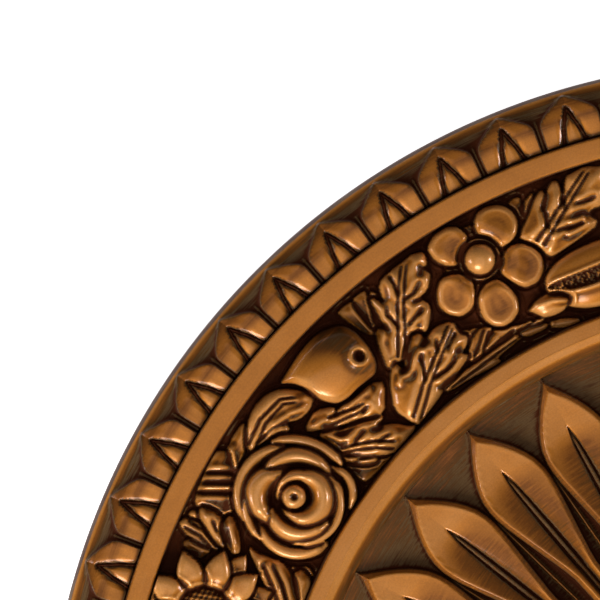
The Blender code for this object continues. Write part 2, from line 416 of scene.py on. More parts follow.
class BorderSizes(bpy.types.PropertyGroup):
    """The ring of pointed leaves round the rim."""

    leaves: IntProperty(name="Leaves", description="Leaves round the rim", default=65, min=12, max=120)
    first: bearing("First leaf", "Angle of the first leaf's tip", 1.44)
    shoulder: length("Shoulder", "How far in from the lip a leaf is full", 10.8)
    slot: length("Slot", "Gap between two leaves", 2.7)
    rise: length("Rise", "Leaf above its ground", 2.6)
    notch_depth: length("Notch reach", "How far the pointed notch runs out into the leaf", 18.5)
    notch_width: length("Notch width", "Width of the notch at the leaf's base", 12.3)
    groove: length("Groove", "Width of the notch's legs", 2.6)


def border_ground(rings, radius):
    """The rounded ground under the leaves: it swells from the lip to a crest and falls to the joint."""
    s = rings.sizes
    crest, fall_share = 0.55, 0.20
    inward = (rings.lip - radius) / s.border_width
    rise = np.sin(0.5 * math.pi * np.clip(inward / crest, -0.1, 1.0))
    fall = fall_share * np.clip((inward - crest) / (1.0 - crest), 0.0, 1.0) ** 1.5
    swell = s.border_crest - s.lip_height - 2.6
    return s.lip_height + swell * np.where(inward < crest, rise, 1.0 - fall)


def leaf_half(rings, border, radius):
    """Half of a leaf's width: straight sides out of the tip, then shoulders a slot apart."""
    full = 0.5 * (radius * math.tau / border.leaves - border.slot)
    tip, bow, softness = rings.lip - 0.6, 0.22, 0.1
    t = np.clip((tip - radius) / border.shoulder, 0.0, 4.0)
    t = t * (1.0 + bow * np.clip(1.0 - t, 0.0, 1.0))
    return full * (1.0 - softness * np.log1p(np.exp((1.0 - t) / softness))).clip(0.0, 1.0)


def notch_leg(rings, border, radius):
    """Half of the notch's width: its legs bow out a little between the point and the leaf's base."""
    reach = np.clip((rings.border + border.notch_depth - radius) / border.notch_depth, 0.0, 1.0)
    return 0.5 * border.notch_width * reach * (1.0 + 0.30 * (1.0 - reach))


def border_at(rings, border, radius, across):
    """Height and glaze of the border at a radius and a distance across from a leaf's middle line."""
    hollow, crease, notch, notch_lip, joint_drop, bead_rise = 1.3, 0.5, 2.4, 0.45, 3.5, 1.3
    side, inward, groove = np.abs(across), rings.lip - radius, border.groove
    half = leaf_half(rings, border, radius)
    lean = leaf_half(rings, border, radius + 0.5) - leaf_half(rings, border, radius - 0.5)
    inside = (half - side) / np.sqrt(1.0 + lean**2)
    body = smooth(inside, -0.5, 0.6) * smooth(inward, 0.0, 1.6)
    share = (side / np.maximum(half, 1.0)).clip(0, 1)
    slant = math.cos(math.atan2(0.5 * border.notch_width, border.notch_depth))
    beyond = np.maximum(radius - rings.border - border.notch_depth, 0.0)
    off = np.hypot((side - notch_leg(rings, border, radius)) * slant, beyond)
    cut = hump(off - 0.30 * groove, 0.20 * groove)
    leaf_top = border.rise + 0.9 - hollow * (1.0 - share**2) - notch * cut
    leaf_top = leaf_top - crease * np.exp(-side / 1.4) * smooth(-inward, -12.0, -8.0)
    leaf_top = leaf_top + notch_lip * hump(off - 0.95 * groove, 0.45 * groove)
    joint = 1.0 - smooth(radius - rings.border, -0.5, 0.6)
    bead = hump(0.5 * radius * math.tau / border.leaves - side, 0.5) * smooth(inward, 9.0, 12.0)
    height = border_ground(rings, radius) + body * leaf_top - joint_drop * joint + bead_rise * bead
    # Glaze and painted shade: olive ground that darkens inwards, bright faces, dark notches, and dark sides
    recess = 0.34 + 0.28 * smooth(inward, 1.0, 6.0) + 0.20 * smooth(inward, 5.0, 10.0)
    # Painted shadow: the ground darkens beside each leaf
    recess = recess + 0.34 * np.exp(-np.maximum(-inside, 0.0) / 1.1)
    recess = 0.10 + (recess - 0.10) * smooth(inward, 0.1, 1.3)
    # Painted shade: a darker band along each leaf's crest and over its outer part towards the tip
    crest = 0.18 * hump(inward - 13.5, 3.2) + 0.22 * smooth(-inward, -12.0, -5.0)
    channel = 0.72 * np.exp(-((off / (0.42 * groove)) ** 4))
    foot = 0.30 * (1.0 - smooth(radius - rings.border, 0.3, 2.8))
    face = 0.12 + crest + 0.08 * share + 0.30 * hump(inside, 0.7) + np.maximum(0.9 * cut, channel) + foot
    glaze = (1.0 - body) * (recess - 0.5 * bead) + body * np.clip(face, 0.0, 1.0) + 0.9 * joint
    # Painted shade: the leaves' steep sides darken
    steep = 4.0 * body * (1.0 - body) * smooth(inward, 1.0, 6.0)
    glaze = np.clip(glaze, 0.0, 1.0)
    return height, glaze + (1.0 - glaze) * 0.9 * steep


def border_cell(rings, border):
    """One leaf's share of the ring, open at its sides: its copies weld into a closed ring."""
    lap, columns = 1.0, 30
    inner, lip, lip_height = rings.border - lap, rings.lip, rings.sizes.lip_height
    radii = stations(lip, (inner, 4), (inner + 1.6, 30), (lip - 2.0, 4))
    half = leaf_half(rings, border, radii)[:, None]
    leg = notch_leg(rings, border, radii)[:, None]

    def weigh(even, from_side):
        near = hump(even - half, 0.9) + 0.9 * hump(even - leg, 1.4) + 0.5 * hump(from_side, 0.8)
        return 0.22 + 1.6 * near

    across = crowded(radii, math.tau / border.leaves, columns, weigh)
    radius = np.broadcast_to(radii[:, None], across.shape)
    height, glaze = border_at(rings, border, radius, across)
    walls = [
        (lip + 0.5, lip_height - 0.2, 0.14),
        (lip + 1.1, lip_height - 1.3, 0.70),
        (lip + 1.7, lip_height - 3.2, 0.92),
        (lip + 2.3, lip_height - 6.4, 0.97),
        (rings.outside, 0.0, 1.0),
        (inner, 0.0, 0.95),
    ]
    return cell_object("border cell", radius, across / radius, height, glaze, walls)


class MEDALLION_OT_leaf_border(bpy.types.Operator):
    """Press the border of pointed leaves round the rim, each with its notch"""

    bl_idname = "medallion.leaf_border"
    bl_label = "Leaf border"

    def execute(self, context):
        border = in_millimetres(context.scene.medallion_border)
        cell = border_cell(Rings(context.scene.medallion_rings), border)
        material = bronze_paint(context.scene.medallion_finish)
        settle(ring_of(cell, "leaf_border", border.leaves, border.first, WELD, material))
        return {"FINISHED"}


# Rosette


class RosetteSizes(bpy.types.PropertyGroup):
    """The petals round the seat."""

    petals: IntProperty(name="Petals", description="Petals round the seat", default=32, min=8, max=60)
    first: bearing("First petal", "Angle of the first petal's tip", 6.79)
    bevel: length("Bevel", "Sloped edge of a petal", 2.4)
    groove: length("Groove", "Depth of the groove down a petal", 2.9)
    groove_end: length("Groove end", "Distance from the tip to the groove's end", 25.5)
    lobe: length("Lobe", "Swell of a petal's two lobes", 3.4)


# Half width of a petal against the radius: narrow at the seat, fullest a quarter of the way in, pointed
PETAL_HALF = (
    (72.0, 5.6), (132.6, 6.9), (148.6, 7.5), (159.2, 10.0), (169.8, 12.5), (180.4, 15.1), (191.0, 17.6),
    (197.0, 18.7), (203.0, 19.1), (209.6, 18.3), (215.0, 16.5), (220.0, 14.2), (225.0, 11.3), (230.0, 7.9),
    (235.0, 4.2), (238.0, 1.9), (241.4, 0.0),
)
# Height of a petal against the radius: it rises from the middle of its length to a lifted tip
PETAL_TOP = (
    (72.0, 20.5), (80.0, 20.0), (120.0, 19.4), (175.0, 18.5), (212.0, 17.2), (228.0, 18.6), (236.0, 19.8),
    (241.4, 19.4),
)


def petal_half(radius):
    """Half width of a petal at a radius."""
    return np.interp(radius, *np.transpose(PETAL_HALF))


def petal_top(radius):
    """Height of a petal at a radius, its corners eased over 5 mm."""
    fine = np.linspace(60.0, 255.0, 391)
    return np.interp(radius, fine, blurred(np.interp(fine, *np.transpose(PETAL_TOP))[:, None], 10, 1)[:, 0])


def rosette_at(rings, rosette, radius, across):
    """Height and glaze of the rosette at a radius and a distance across from a petal's middle line."""
    bevel_drop, rim_lip, bead_rise = 2.3, 0.45, 3.0
    groove_widest, groove_opening, groove_share, rib_share = 3.0, 11.0, 0.34, 0.34
    field, side, inward = rings.sizes.field_height, np.abs(across), rings.petal_tips - radius
    half = petal_half(radius)
    lean = 0.5 * (petal_half(radius + 1.0) - petal_half(radius - 1.0))
    inside = (half - side) / np.sqrt(1.0 + lean**2)
    wall = smooth(inside, -0.5, 0.4)
    bevel_width = rosette.bevel * (1.0 + 0.5 * smooth(-inward, -14.0, -4.0))
    bevel = np.clip(inside / bevel_width, 0.0, 1.0)
    length_in = np.maximum(inward - rosette.groove_end, 0.0)
    groove_half = groove_widest * (1.0 - np.exp(-length_in / groove_opening))
    groove_half = np.minimum(groove_half, groove_share * half)
    down = smooth(groove_half - side, -0.2, 0.9) * smooth(length_in, 0.0, 3.0)
    rib = smooth(rib_share * groove_half - side, -0.6, 0.4) * smooth(length_in, 4.0, 10.0)
    face_share = np.clip((side - groove_half) / np.maximum(half - rosette.bevel - groove_half, 1.0), 0.0, 1.0)
    swell = rosette.lobe * np.sin(0.5 * math.pi * face_share**1.1) * smooth(inward, 8.0, 56.0)
    face = petal_top(radius) - bevel_drop * (1.0 - bevel) + swell + rim_lip * hump(inside - bevel_width, 0.6)
    face = face - rosette.groove * (down - 0.95 * rib)
    bead = hump(0.5 * radius * math.tau / rosette.petals - side, 0.7) * smooth(inward, 42.0, 54.0)
    height = field + wall * (face - field) + (1.0 - wall) * bead_rise * bead
    # Glaze and painted shade: olive ground dark round each petal, a copper rim, faces darkening to the groove
    ground = 0.43 + 0.18 * smooth(inward, 1.0, 16.0) + 0.20 * smooth(-radius, -205.0, -160.0)
    # Painted shadow and glaze: the ground darkens along the foot of each petal
    ground = ground + 0.42 * hump(np.maximum(-inside, 0.0), 1.5) - 0.68 * bead
    # Copper bevel, with a painted highlight along its inner edge
    rim = 0.09 * (1.0 - bevel) + 0.13 * smooth(-bevel, -1.0, -0.72) - 0.08 * hump(inside - bevel_width, 0.5)
    # Painted shade: the faces darken beside the groove, and darken away from the tip
    shade = 0.14 + rim + 0.28 * (1.0 - face_share) ** 1.5 * smooth(length_in, 0.0, 25.0)
    shade = shade + 0.10 * smooth(length_in, 0.0, 14.0) + 0.16 * smooth(length_in, 5.0, 60.0)
    # Painted highlight: the petals lighten again towards the seat
    shade = shade - 0.24 * smooth(length_in, 40.0, 80.0)
    shade = shade - 0.75 * np.maximum(shade - 0.36, 0.0) + 0.70 * down * (1.0 - 0.84 * rib)
    return height, np.clip((1.0 - wall) * ground + wall * shade, 0.0, 1.0)


def rosette_cell(rings, rosette):
    """One petal with half of the field on each side, open at its sides: its copies weld into a ring."""
    lap, columns, wall_glaze = 1.2, 46, 0.9
    inner, tips, outer = rings.bead - lap, rings.petal_tips, rings.petal_tips + 1.6
    under = rings.sizes.field_height - 4.0
    radii = stations(outer, (inner, 20), (tips - 44.0, 32), (tips - 5.0, 11))
    pitch = math.tau / rosette.petals
    half = np.minimum(petal_half(radii), 0.5 * radii * pitch)[:, None]
    beaded = (radii < tips - 42.0)[:, None]

    def weigh(even, from_side):
        near = 1.3 * hump(even - half + 0.8, 1.6) + 0.8 * hump(even, 2.6)
        return 0.16 + near + 0.6 * beaded * hump(from_side, 0.9)

    across = crowded(radii, pitch, columns, weigh)
    radius = np.broadcast_to(radii[:, None], across.shape)
    height, glaze = rosette_at(rings, rosette, radius, across)
    walls = [(outer, under, wall_glaze), (inner, under, wall_glaze)]
    return cell_object("petal cell", radius, across / radius, height, glaze, walls)


class MEDALLION_OT_rosette(bpy.types.Operator):
    """Press the rosette of petals, each with its bevelled edge and the groove down its middle"""

    bl_idname = "medallion.rosette"
    bl_label = "Rosette of petals"

    def execute(self, context):
        rosette = in_millimetres(context.scene.medallion_rosette)
        cell = rosette_cell(Rings(context.scene.medallion_rings), rosette)
        material = bronze_paint(context.scene.medallion_finish)
        settle(ring_of(cell, "rosette", rosette.petals, rosette.first, WELD, material))
        return {"FINISHED"}


# Garland: one repeat drawn as relief above the channel's floor


class GarlandSizes(bpy.types.PropertyGroup):
    """The garland of flowers, fruit and leaves between the two flat bands."""

    repeats: IntProperty(name="Repeats", description="Repeats round the ring", default=5, min=1, max=12)
    start: bearing("Start", "Angle where the drawn repeat begins", 98.0)
    rose_rise: length("Rose rise", "Height of the rose", 23.2)
    fruit_rise: length("Fruit rise", "Height of the fruit", 21.5)
    flower_rise: length("Flower rise", "Height of open flowers", 15.0)
    pod_rise: length("Pod rise", "Height of the pod", 16.5)
    leaf_rise: length("Leaf rise", "Height of the leaves", 10.5)
    grid: length("Drawing grid", "Step of the drawn relief", 0.3)


# Plain leaves where the photo ends: base, tip, width, bend, lobes on each side, their depth, rise as a share
LEAVES = (
    ((-195.0, 177.4), (-221.0, 161.5), 11.0, 1.0, 2, 0.25, 0.55),
    ((-62.0, 288.0), (-88.0, 268.5), 15.0, 1.5, 3, 0.28, 0.80),
    ((-47.0, 300.5), (-77.0, 317.0), 19.0, 2.0, 3, 0.32, 0.95),
    ((-46.5, 286.0), (-41.0, 262.0), 20.0, 1.0, 3, 0.30, 0.95),
)

# Leaves carved to an outline drawn from the medallion's centre, those at the back first: outline, rise as a
# share, midrib, creases, ridges
SEPAL_FAN = (
    (((-226, 246.5), (-223, 250), (-218, 253), (-207.5, 240.5), (-206, 235.5), (-211, 236)), 0.62),
    (((-218.5, 253.5), (-214.5, 257), (-211.5, 258.5), (-207.5, 246.5), (-204.5, 238),
     (-208.5, 240.5)), 0.5),
    (((-209.5, 258.5), (-204.5, 256.5), (-202, 239), (-204.5, 239)), 0.4),
)
UNDER_BLOSSOM = (
    (((-129, 296.5), (-128.5, 303), (-125.5, 308), (-123, 310), (-123.5, 304.5), (-126.5, 297.5)), 0.42),
    (((-136, 305), (-132.5, 307.5), (-130, 307.5), (-129.5, 297.5), (-132.5, 300)), 0.36),
    (((-164.5, 239), (-161, 237), (-156, 238), (-151, 239), (-156, 229.5), (-158.5, 234.5)), 0.4),
    (((-158, 223.5), (-154.5, 234.5), (-150, 239), (-144.5, 239), (-148.5, 224.5), (-153.5, 221)), 0.55,
     ((-152.5, 222), (-149.5, 231), (-147.5, 240))),
    (((-148.5, 226), (-145, 237), (-137.5, 239), (-128, 240.5), (-123, 243), (-131.5, 234.5),
     (-142.5, 227)), 0.55,
     (), (((-146, 227), (-140, 233.5), (-133, 238)),)),
    (((-170.5, 206.5), (-167.5, 210), (-161, 215), (-146, 226), (-131.5, 237), (-117, 245), (-118, 243),
     (-128, 235.5), (-142.5, 223.5), (-140, 221), (-156, 213), (-167, 206)), 0.7,
     ((-168, 208.5), (-145, 225.5), (-118, 244))),
    (((-114.5, 241.5), (-107, 244), (-97.5, 243.5), (-104.5, 240), (-112, 239.5)), 0.55),
    (((-131, 236), (-124, 240), (-115, 241.5), (-117, 238.5), (-126, 234.5)), 0.45),
)
UPPER_LEAVES = (
    (((-120, 282.5), (-130, 286), (-129, 290.5), (-125, 299), (-121.5, 308), (-118.5, 311.5),
     (-116.8, 308.5), (-118.5, 302), (-116.2, 298), (-117.5, 303), (-116.5, 309), (-113.5, 315.5),
     (-111, 316.5), (-109, 312.5), (-107.7, 306), (-107, 311.5), (-105.5, 318.5), (-103, 320), (-95.5, 324),
     (-86, 323.5), (-83, 314), (-86.5, 304.5), (-92.5, 302), (-95, 298.5), (-88.5, 294.5), (-100, 285.5),
     (-112, 277.5), (-115, 277.5)), 1.05,
     ((-120, 283), (-110, 299), (-100, 314.5), (-94.5, 323)),
     (((-111.5, 290), (-107.5, 291.5), (-101.5, 292.5), (-96.5, 294.5)), ((-101, 304.5), (-97, 305.5),
      (-91, 308)), ((-116.5, 297.5), (-116, 294), (-114.5, 291)), ((-107.5, 306.5), (-107, 303.5))),
     (((-104, 288.5), (-95, 294), (-97.5, 296.8), (-103, 295)),)),
    (((-194, 221.5), (-199, 217), (-204.5, 230), (-206, 238), (-200.5, 239), (-205.5, 248), (-209, 255),
     (-201, 251.5), (-204, 260), (-203, 264.5), (-194, 272), (-190.5, 274.5), (-187, 277.5), (-181, 279),
     (-179, 273), (-182.5, 270.5), (-177, 267), (-179, 259.5), (-183.5, 255), (-177, 250.5),
     (-178.5, 239.5), (-180, 237), (-184.5, 238), (-188.5, 237), (-191.5, 223)), 1.0,
     ((-192, 223), (-193, 250.5), (-192.5, 263), (-191, 274)),
     (((-199.5, 267), (-197, 263), (-194.5, 257.5)), ((-200.5, 249.5), (-200, 246), (-197, 243),
      (-194, 240)), ((-191.5, 254), (-186.5, 257), (-183.5, 262)), ((-189, 240.5), (-185.5, 245),
      (-181.5, 249)), ((-187, 253), (-181, 254.5))),
     (((-199.5, 222), (-203, 231), (-202, 237)), ((-180, 240), (-179, 249)), ((-179, 261), (-179.5, 266)))),
    (((-184.5, 188.5), (-196, 196), (-198, 209.5), (-197.5, 217.5), (-195.5, 220.5), (-190.5, 216),
     (-190.5, 225), (-187.5, 234.5), (-183, 236.5), (-180, 232.5), (-175, 239), (-166, 242.5),
     (-162.5, 235.5), (-158, 234.5), (-158.5, 230), (-161.5, 225.5), (-157, 224.5), (-164, 214.5),
     (-171.5, 207.5), (-171, 205), (-183, 189)), 1.1,
     ((-184.5, 190.5), (-179.5, 209), (-174, 222.5), (-170, 232.5), (-166, 242)),
     (((-180, 213), (-181.5, 220.5), (-182.5, 225)), ((-173, 227.5), (-174.5, 233.5)), ((-174.5, 213.5),
      (-169, 217), (-164, 222.5)), ((-168.5, 228.5), (-164, 237))),
     (((-194, 210), (-193, 213), (-189, 215), (-187, 217.5), (-185.5, 223.5), (-183, 226.5), (-178.5, 229)),
      ((-172, 211.5), (-165, 217.5), (-160.5, 225)))),
    (((-223.5, 169), (-213.5, 159), (-210.5, 158.5), (-199.5, 169.5), (-195, 175), (-205, 173)), 0.42),
    (((-226.5, 175.5), (-211.5, 177.5), (-195, 176.5), (-199.5, 173), (-205, 172.5), (-205.5, 169),
     (-211, 167.5), (-219.5, 168.5), (-223.5, 169.5)), 0.7,
     (), (((-223, 171.5), (-213, 174.5), (-203, 174)), ((-216, 169.5), (-209, 171.5)))),
    (((-236, 182.5), (-231.5, 186), (-226.5, 190), (-225, 184.5), (-218, 188.5), (-206, 192.5), (-202, 193),
     (-205.5, 187), (-195.5, 188.5), (-189.5, 187), (-184.5, 187.5), (-191.5, 178.5), (-197.5, 173),
     (-210.5, 172), (-221, 173), (-229.5, 177.5)), 0.95,
     ((-195, 177.5), (-206, 178), (-216.5, 176.5), (-225, 174)),
     (((-217, 178), (-216, 180.5), (-213, 184)), ((-204.5, 179), (-202, 181.5), (-198.5, 183.5))),
     (((-230.5, 182.5), (-224.5, 180.5), (-221, 181.5), (-217, 185.5), (-212.5, 188), (-206, 188.5)),)),
    (((-241.5, 184.5), (-242.5, 187.5), (-237.5, 195.5), (-228, 197.5), (-227, 193.5), (-226, 196),
     (-218, 202), (-208, 210), (-201.5, 210.5), (-201.5, 194), (-212.5, 192.5), (-223, 188.5),
     (-231.5, 186.5)), 0.98,
     ((-231, 189.5), (-222, 193.5), (-216.5, 195.5), (-210.5, 199)),
     (((-211, 198), (-213, 194)),),
     (((-221, 197.5), (-210, 207)), ((-239, 187), (-233, 190.5)))),
    (((-283.5, 167.5), (-284, 175), (-281, 182), (-275.5, 189.5), (-274, 184), (-274.5, 176.5),
     (-278, 167.5), (-281, 160)), 0.8,
     (), (), (((-282, 167), (-282, 176)),)),
    (((-273, 173), (-273.5, 188.5), (-270, 197.5), (-263.5, 204), (-255.5, 207), (-238, 205), (-241, 196),
     (-246.5, 191), (-253.5, 189.5), (-251.5, 185), (-259, 183), (-265.5, 179.5)), 1.05,
     ((-271.5, 176), (-265.5, 190), (-255.5, 200.5), (-247, 201.5)),
     (((-268, 179), (-260, 186.5), (-254, 189.5)),),
     (((-263, 184), (-252, 193.5), (-244, 197)),)),
)
LOWER_LEAVES = (
    (((-291, 174), (-284, 174), (-281.5, 164), (-279.5, 153), (-281, 142.5), (-288, 141), (-294, 144.5),
     (-301, 146), (-300, 153), (-295.5, 163)), 0.52,
     (), (((-296, 163), (-281, 163)), ((-301, 152.5), (-279, 152.5))),
     (((-296, 155), (-282, 155)),)),
    (((-307.5, 125.5), (-304, 128), (-295.5, 123.5), (-293, 122), (-298.5, 117.5), (-303, 121)), 0.6),
    (((-309.5, 136), (-306.5, 139), (-297, 134), (-291, 125), (-289, 122), (-295, 124.5),
     (-304, 129)), 0.55,
     ((-307, 136.5), (-298, 131.5), (-291, 123.5))),
    (((-304.5, 140), (-303, 143), (-298.5, 141.5), (-298, 139)), 0.5),
    (((-298.5, 139.5), (-298.5, 144.5), (-292, 143), (-287.5, 139), (-287.5, 134), (-286, 128), (-285, 123),
     (-288.5, 124.5), (-293, 131), (-296.5, 136.5)), 0.85,
     (), (((-292, 138), (-289, 131)),)),
    (((-287, 135.5), (-283, 140), (-281, 138.5), (-278, 130), (-277.5, 121), (-281, 120), (-283.5, 123),
     (-285.5, 128.5)), 0.85,
     (), (), (((-282, 136), (-280, 125)),)),
    (((-254, 113.5), (-248, 112.5), (-241, 113), (-239, 108), (-246, 107)), 0.35),
    (((-249.5, 109.5), (-245, 111.5), (-240.5, 106.5), (-241, 102.5), (-244, 92), (-247.5, 98.5)), 0.8),
    (((-272.5, 123.5), (-269, 120.5), (-262.5, 118), (-255.5, 115.5), (-251.5, 110.5), (-249, 104),
     (-248, 94.5), (-246, 82), (-249, 73), (-256, 82), (-260.5, 92), (-263, 101), (-266, 108),
     (-270.5, 117)), 1.0,
     (), (((-260, 113), (-255.5, 104), (-251.5, 90)), ((-265.5, 115), (-259.5, 101), (-254, 84))),
     (((-262.5, 114), (-257.5, 102), (-252.5, 86)),)),
)


class Relief:
    """Heights above the channel's floor over one repeat, on a polar grid, and the painted shade on each
    place.

    Forms are laid over it one by one, each over what is there.
    """

    def __init__(self, rings, garland):
        self.low, self.high = rings.garland, rings.flat_band
        self.leaf_rise = garland.leaf_rise
        self.turn = math.tau / garland.repeats
        middle = 0.5 * (self.low + self.high)
        self.radius = np.linspace(self.low, self.high, int((self.high - self.low) / garland.grid) + 1)
        columns = int(self.turn * middle / garland.grid)
        self.angle = garland.start + np.arange(columns) * self.turn / columns
        self.height = np.zeros((len(self.radius), columns))
        self.tone = np.zeros_like(self.height)

    def windows(self, centre, reach):
        """The parts of the grid within reach of a centre in this repeat or the ones beside it."""
        centre_radius, centre_angle = math.hypot(*centre), math.atan2(centre[1], centre[0])
        # Nearer the middle the same angle spans less than at the centre's radius
        narrowed = 0.9
        rows = np.flatnonzero(np.abs(self.radius - centre_radius) < reach)
        if not len(rows):
            return
        rows = slice(rows[0], rows[-1] + 1)
        for copy in (-1, 0, 1):
            angle = self.angle - copy * self.turn
            near = np.flatnonzero(np.abs(angle - centre_angle) * centre_radius * narrowed < reach)
            if len(near):
                columns = slice(near[0], near[-1] + 1)
                radius, turned_angle = np.meshgrid(self.radius[rows], angle[columns], indexing="ij")
                yield (rows, columns), radius * np.cos(turned_angle), radius * np.sin(turned_angle)

    def lay(self, centre, reach, form, moat=1.3):
        """Lays a form in a moat with a low rim.

        form(x, y) gives the distance inside its outline, its height and perhaps its painted shade.
        """
        edge, moat_width, deepest, rim_rise, rim_off, rim_width = 0.45, 0.75, -2.0, 0.9, 2.1, 0.5
        for window, x, y in self.windows(centre, reach):
            inside, height, *painted_darkening = form(x, y)
            ground = self.height[window] - moat * hump(np.minimum(inside, 0.0), moat_width)
            ground = np.maximum(ground + rim_rise * hump(inside + rim_off, rim_width), deepest)
            share = smooth(inside, -edge, edge)
            self.height[window] = ground * (1.0 - share) + height * share
            self.tone[window] = self.tone[window] * (1.0 - share) + (painted_darkening[0] * share if painted_darkening else 0.0)


def turned_to(x, y, centre, direction):
    """Coordinates along and across a direction from a centre."""
    dx, dy = x - centre[0], y - centre[1]
    c, s = math.cos(direction), math.sin(direction)
    return dx * c + dy * s, dy * c - dx * s


def dome(ring, power):
    """1 in the middle of a form, falling ever more steeply to 0 at its outline, where ring is 1."""
    return np.sqrt(1.0 - np.clip(ring, 0.0, 1.0) ** power)


def leaf(relief, base, tip, width, bend, lobes, depth, rise):
    """A leaf with a midrib between two creases and forward-swept lobes that ripple its halves."""
    length_along = math.dist(base, tip)
    direction = math.atan2(tip[1] - base[1], tip[0] - base[0])
    middle = (0.5 * (base[0] + tip[0]), 0.5 * (base[1] + tip[1]))
    crease, forward, first_lobe, lobe_width = 0.55 + 0.035 * width, 0.55, 0.12, 0.16
    crease_depth, midrib_rise, ripple_rise, lowest = 1.9, 0.6, min(1.5, 0.09 * width), 1.5

    def form(x, y):
        along, across = turned_to(x, y, base, direction)
        t = along / length_along
        across = across - bend * 4.0 * t * (1.0 - t)
        side = np.abs(across)
        half = 0.5 * width * np.clip(t, 0.0, 1.0) ** 0.55 * np.clip(1.0 - t, 0.0, 1.0) ** 0.75 / 0.475
        phase = (lobes + 0.5) * (t - forward * side / length_along) + first_lobe * np.sign(across)
        phase = np.mod(phase, 1.0)
        saw = hump(phase - first_lobe, lobe_width) * smooth(t, 0.04, 0.18) * (1.0 - smooth(t, 0.86, 0.97))
        from_side = half * (1.0 - 1.5 * depth * saw) - side
        inside = np.minimum(from_side, np.minimum(along, length_along - along) + 0.5)
        share = np.clip(side / np.maximum(half, 0.8), 0.0, 1.2)
        droop = 0.75 + 0.25 * np.sin(math.pi * np.clip(0.15 + 0.8 * t, 0.0, 1.0))
        height = relief.leaf_rise * rise * (0.60 + 0.40 * dome(share, 2)) * droop
        height = height + ripple_rise * np.cos(math.tau * (phase - 0.58)) * smooth(share, 0.1, 0.55)
        veins = midrib_rise * hump(side, crease) - crease_depth * hump(side - 1.5 * crease, 0.75 * crease)
        return inside, np.maximum(height + veins * (1.0 - smooth(t, 0.75, 0.98)), lowest)

    relief.lay(middle, 0.5 * length_along + width, form)


def to_line(x, y, points):
    """Distance to a broken line, how far along it the nearest place is, and the line's length."""
    nearest, place, walked = np.full(x.shape, np.inf), np.zeros(x.shape), 0.0
    for (ax, ay), (bx, by) in zip(points, points[1:]):
        dx, dy = bx - ax, by - ay
        run = math.hypot(dx, dy)
        t = np.clip(((x - ax) * dx + (y - ay) * dy) / run**2, 0.0, 1.0)
        gap = np.hypot(x - ax - t * dx, y - ay - t * dy)
        place = np.where(gap < nearest, walked + t * run, place)
        nearest = np.minimum(gap, nearest)
        walked += run
    return nearest, place, walked


def outline_gap(x, y, outline, cuts=1):
    """Distance inside a closed outline whose corners are cut off so many times, negative outside."""
    ring, cut = list(outline), 0.2
    for _ in range(cuts):
        corners = zip(ring[-1:] + ring[:-1], ring, ring[1:] + ring[:1])
        ring = [tuple(b[i] + cut * (e[i] - b[i]) for i in (0, 1)) for a, b, c in corners for e in (a, c)]
    closed = ring + ring[:1]
    inside = np.zeros(x.shape, bool)
    for (ax, ay), (bx, by) in zip(closed, closed[1:]):
        if ay != by:
            inside ^= ((ay > y) != (by > y)) & (x < (bx - ax) * (y - ay) / (by - ay) + ax)
    return np.where(inside, 1.0, -1.0) * to_line(x, y, closed)[0]


def reach_of(outline):
    """Middle of an outline and how far the form laid over it can touch."""
    around = 4.0
    middle = tuple(0.5 * (min(p[i] for p in outline) + max(p[i] for p in outline)) for i in (0, 1))
    return middle, max(math.dist(middle, p) for p in outline) + around


def full_of(inside, softness):
    """How full a form is: 0 at its outline, nearing 1 over a few times the softness."""
    return 1.0 - np.exp(-np.maximum(inside, 0.0) / softness)


def carved(relief, outline, rise, midrib=(), creases=(), ridges=()):
    """A leaf carved to its outline: full between its creases, with a midrib between two grooves."""
    outward, lowest, edge_softness = 0.9, 1.2, 3.2
    crease_depth, crease_width, swell_rise, swell_off, swell_width = 1.9, 0.78, 0.8, 3.0, 1.6
    ridge_rise, ridge_width, dip_depth, dip_off, dip_width = 1.3, 1.3, 0.5, 3.2, 1.5
    groove_depth, midrib_rise, shoulder_rise, shoulder_off, shoulder_width = 1.8, 0.5, 0.9, 5.5, 2.5

    def form(x, y):
        inside = outline_gap(x, y, outline) + outward
        height = relief.leaf_rise * rise * (0.50 + 0.50 * full_of(inside, edge_softness))
        for line in creases:
            gap, place, run = to_line(x, y, line)
            ends = smooth(np.minimum(place, run - place), -1.0, 2.0)
            height = height - crease_depth * ends * hump(gap, crease_width)
            height = height + swell_rise * hump(gap - swell_off, swell_width)
        for line in ridges:
            gap = to_line(x, y, line)[0]
            height = height + ridge_rise * hump(gap, ridge_width) - dip_depth * hump(gap - dip_off, dip_width)
        if midrib:
            gap, place, run = to_line(x, y, midrib)
            thick = 1.55 - 0.7 * place / run
            ends = smooth(place, 0.0, 2.0) * smooth(run - place, 0.0, 3.5)
            height = height - groove_depth * ends * hump(gap - 1.4 * thick, 0.46 * thick)
            height = height + midrib_rise * hump(gap, thick)
            height = height + shoulder_rise * hump(gap - shoulder_off, shoulder_width)
        return inside, np.maximum(height, lowest)

    relief.lay(*reach_of(outline), form)


def daisy_petal(relief, centre, direction, length_along, width, top, foot):
    """A full petal: an egg with its point outwards, lower at its foot."""
    point = 0.6

    def form(x, y):
        along, across = turned_to(x, y, centre, direction)
        u, v = 2.0 * along / length_along, 2.0 * across / width
        v = v / (1.0 - 0.45 * point * np.clip(u, -1.0, 1.0))
        ring = np.sqrt(u**2 + v**2) + 0.8 * point * np.abs(v) * np.clip(u, 0.0, 1.0) ** 2
        fullness = 0.45 + 0.55 * dome(ring, 2.6) - 0.35 * smooth(-u, 0.2, 1.1)
        return (1.0 - ring) * 0.5 * min(length_along, width), foot + (top - foot) * fullness

    relief.lay(centre, 0.6 * max(length_along, width) + 3.0, form, moat=1.6)


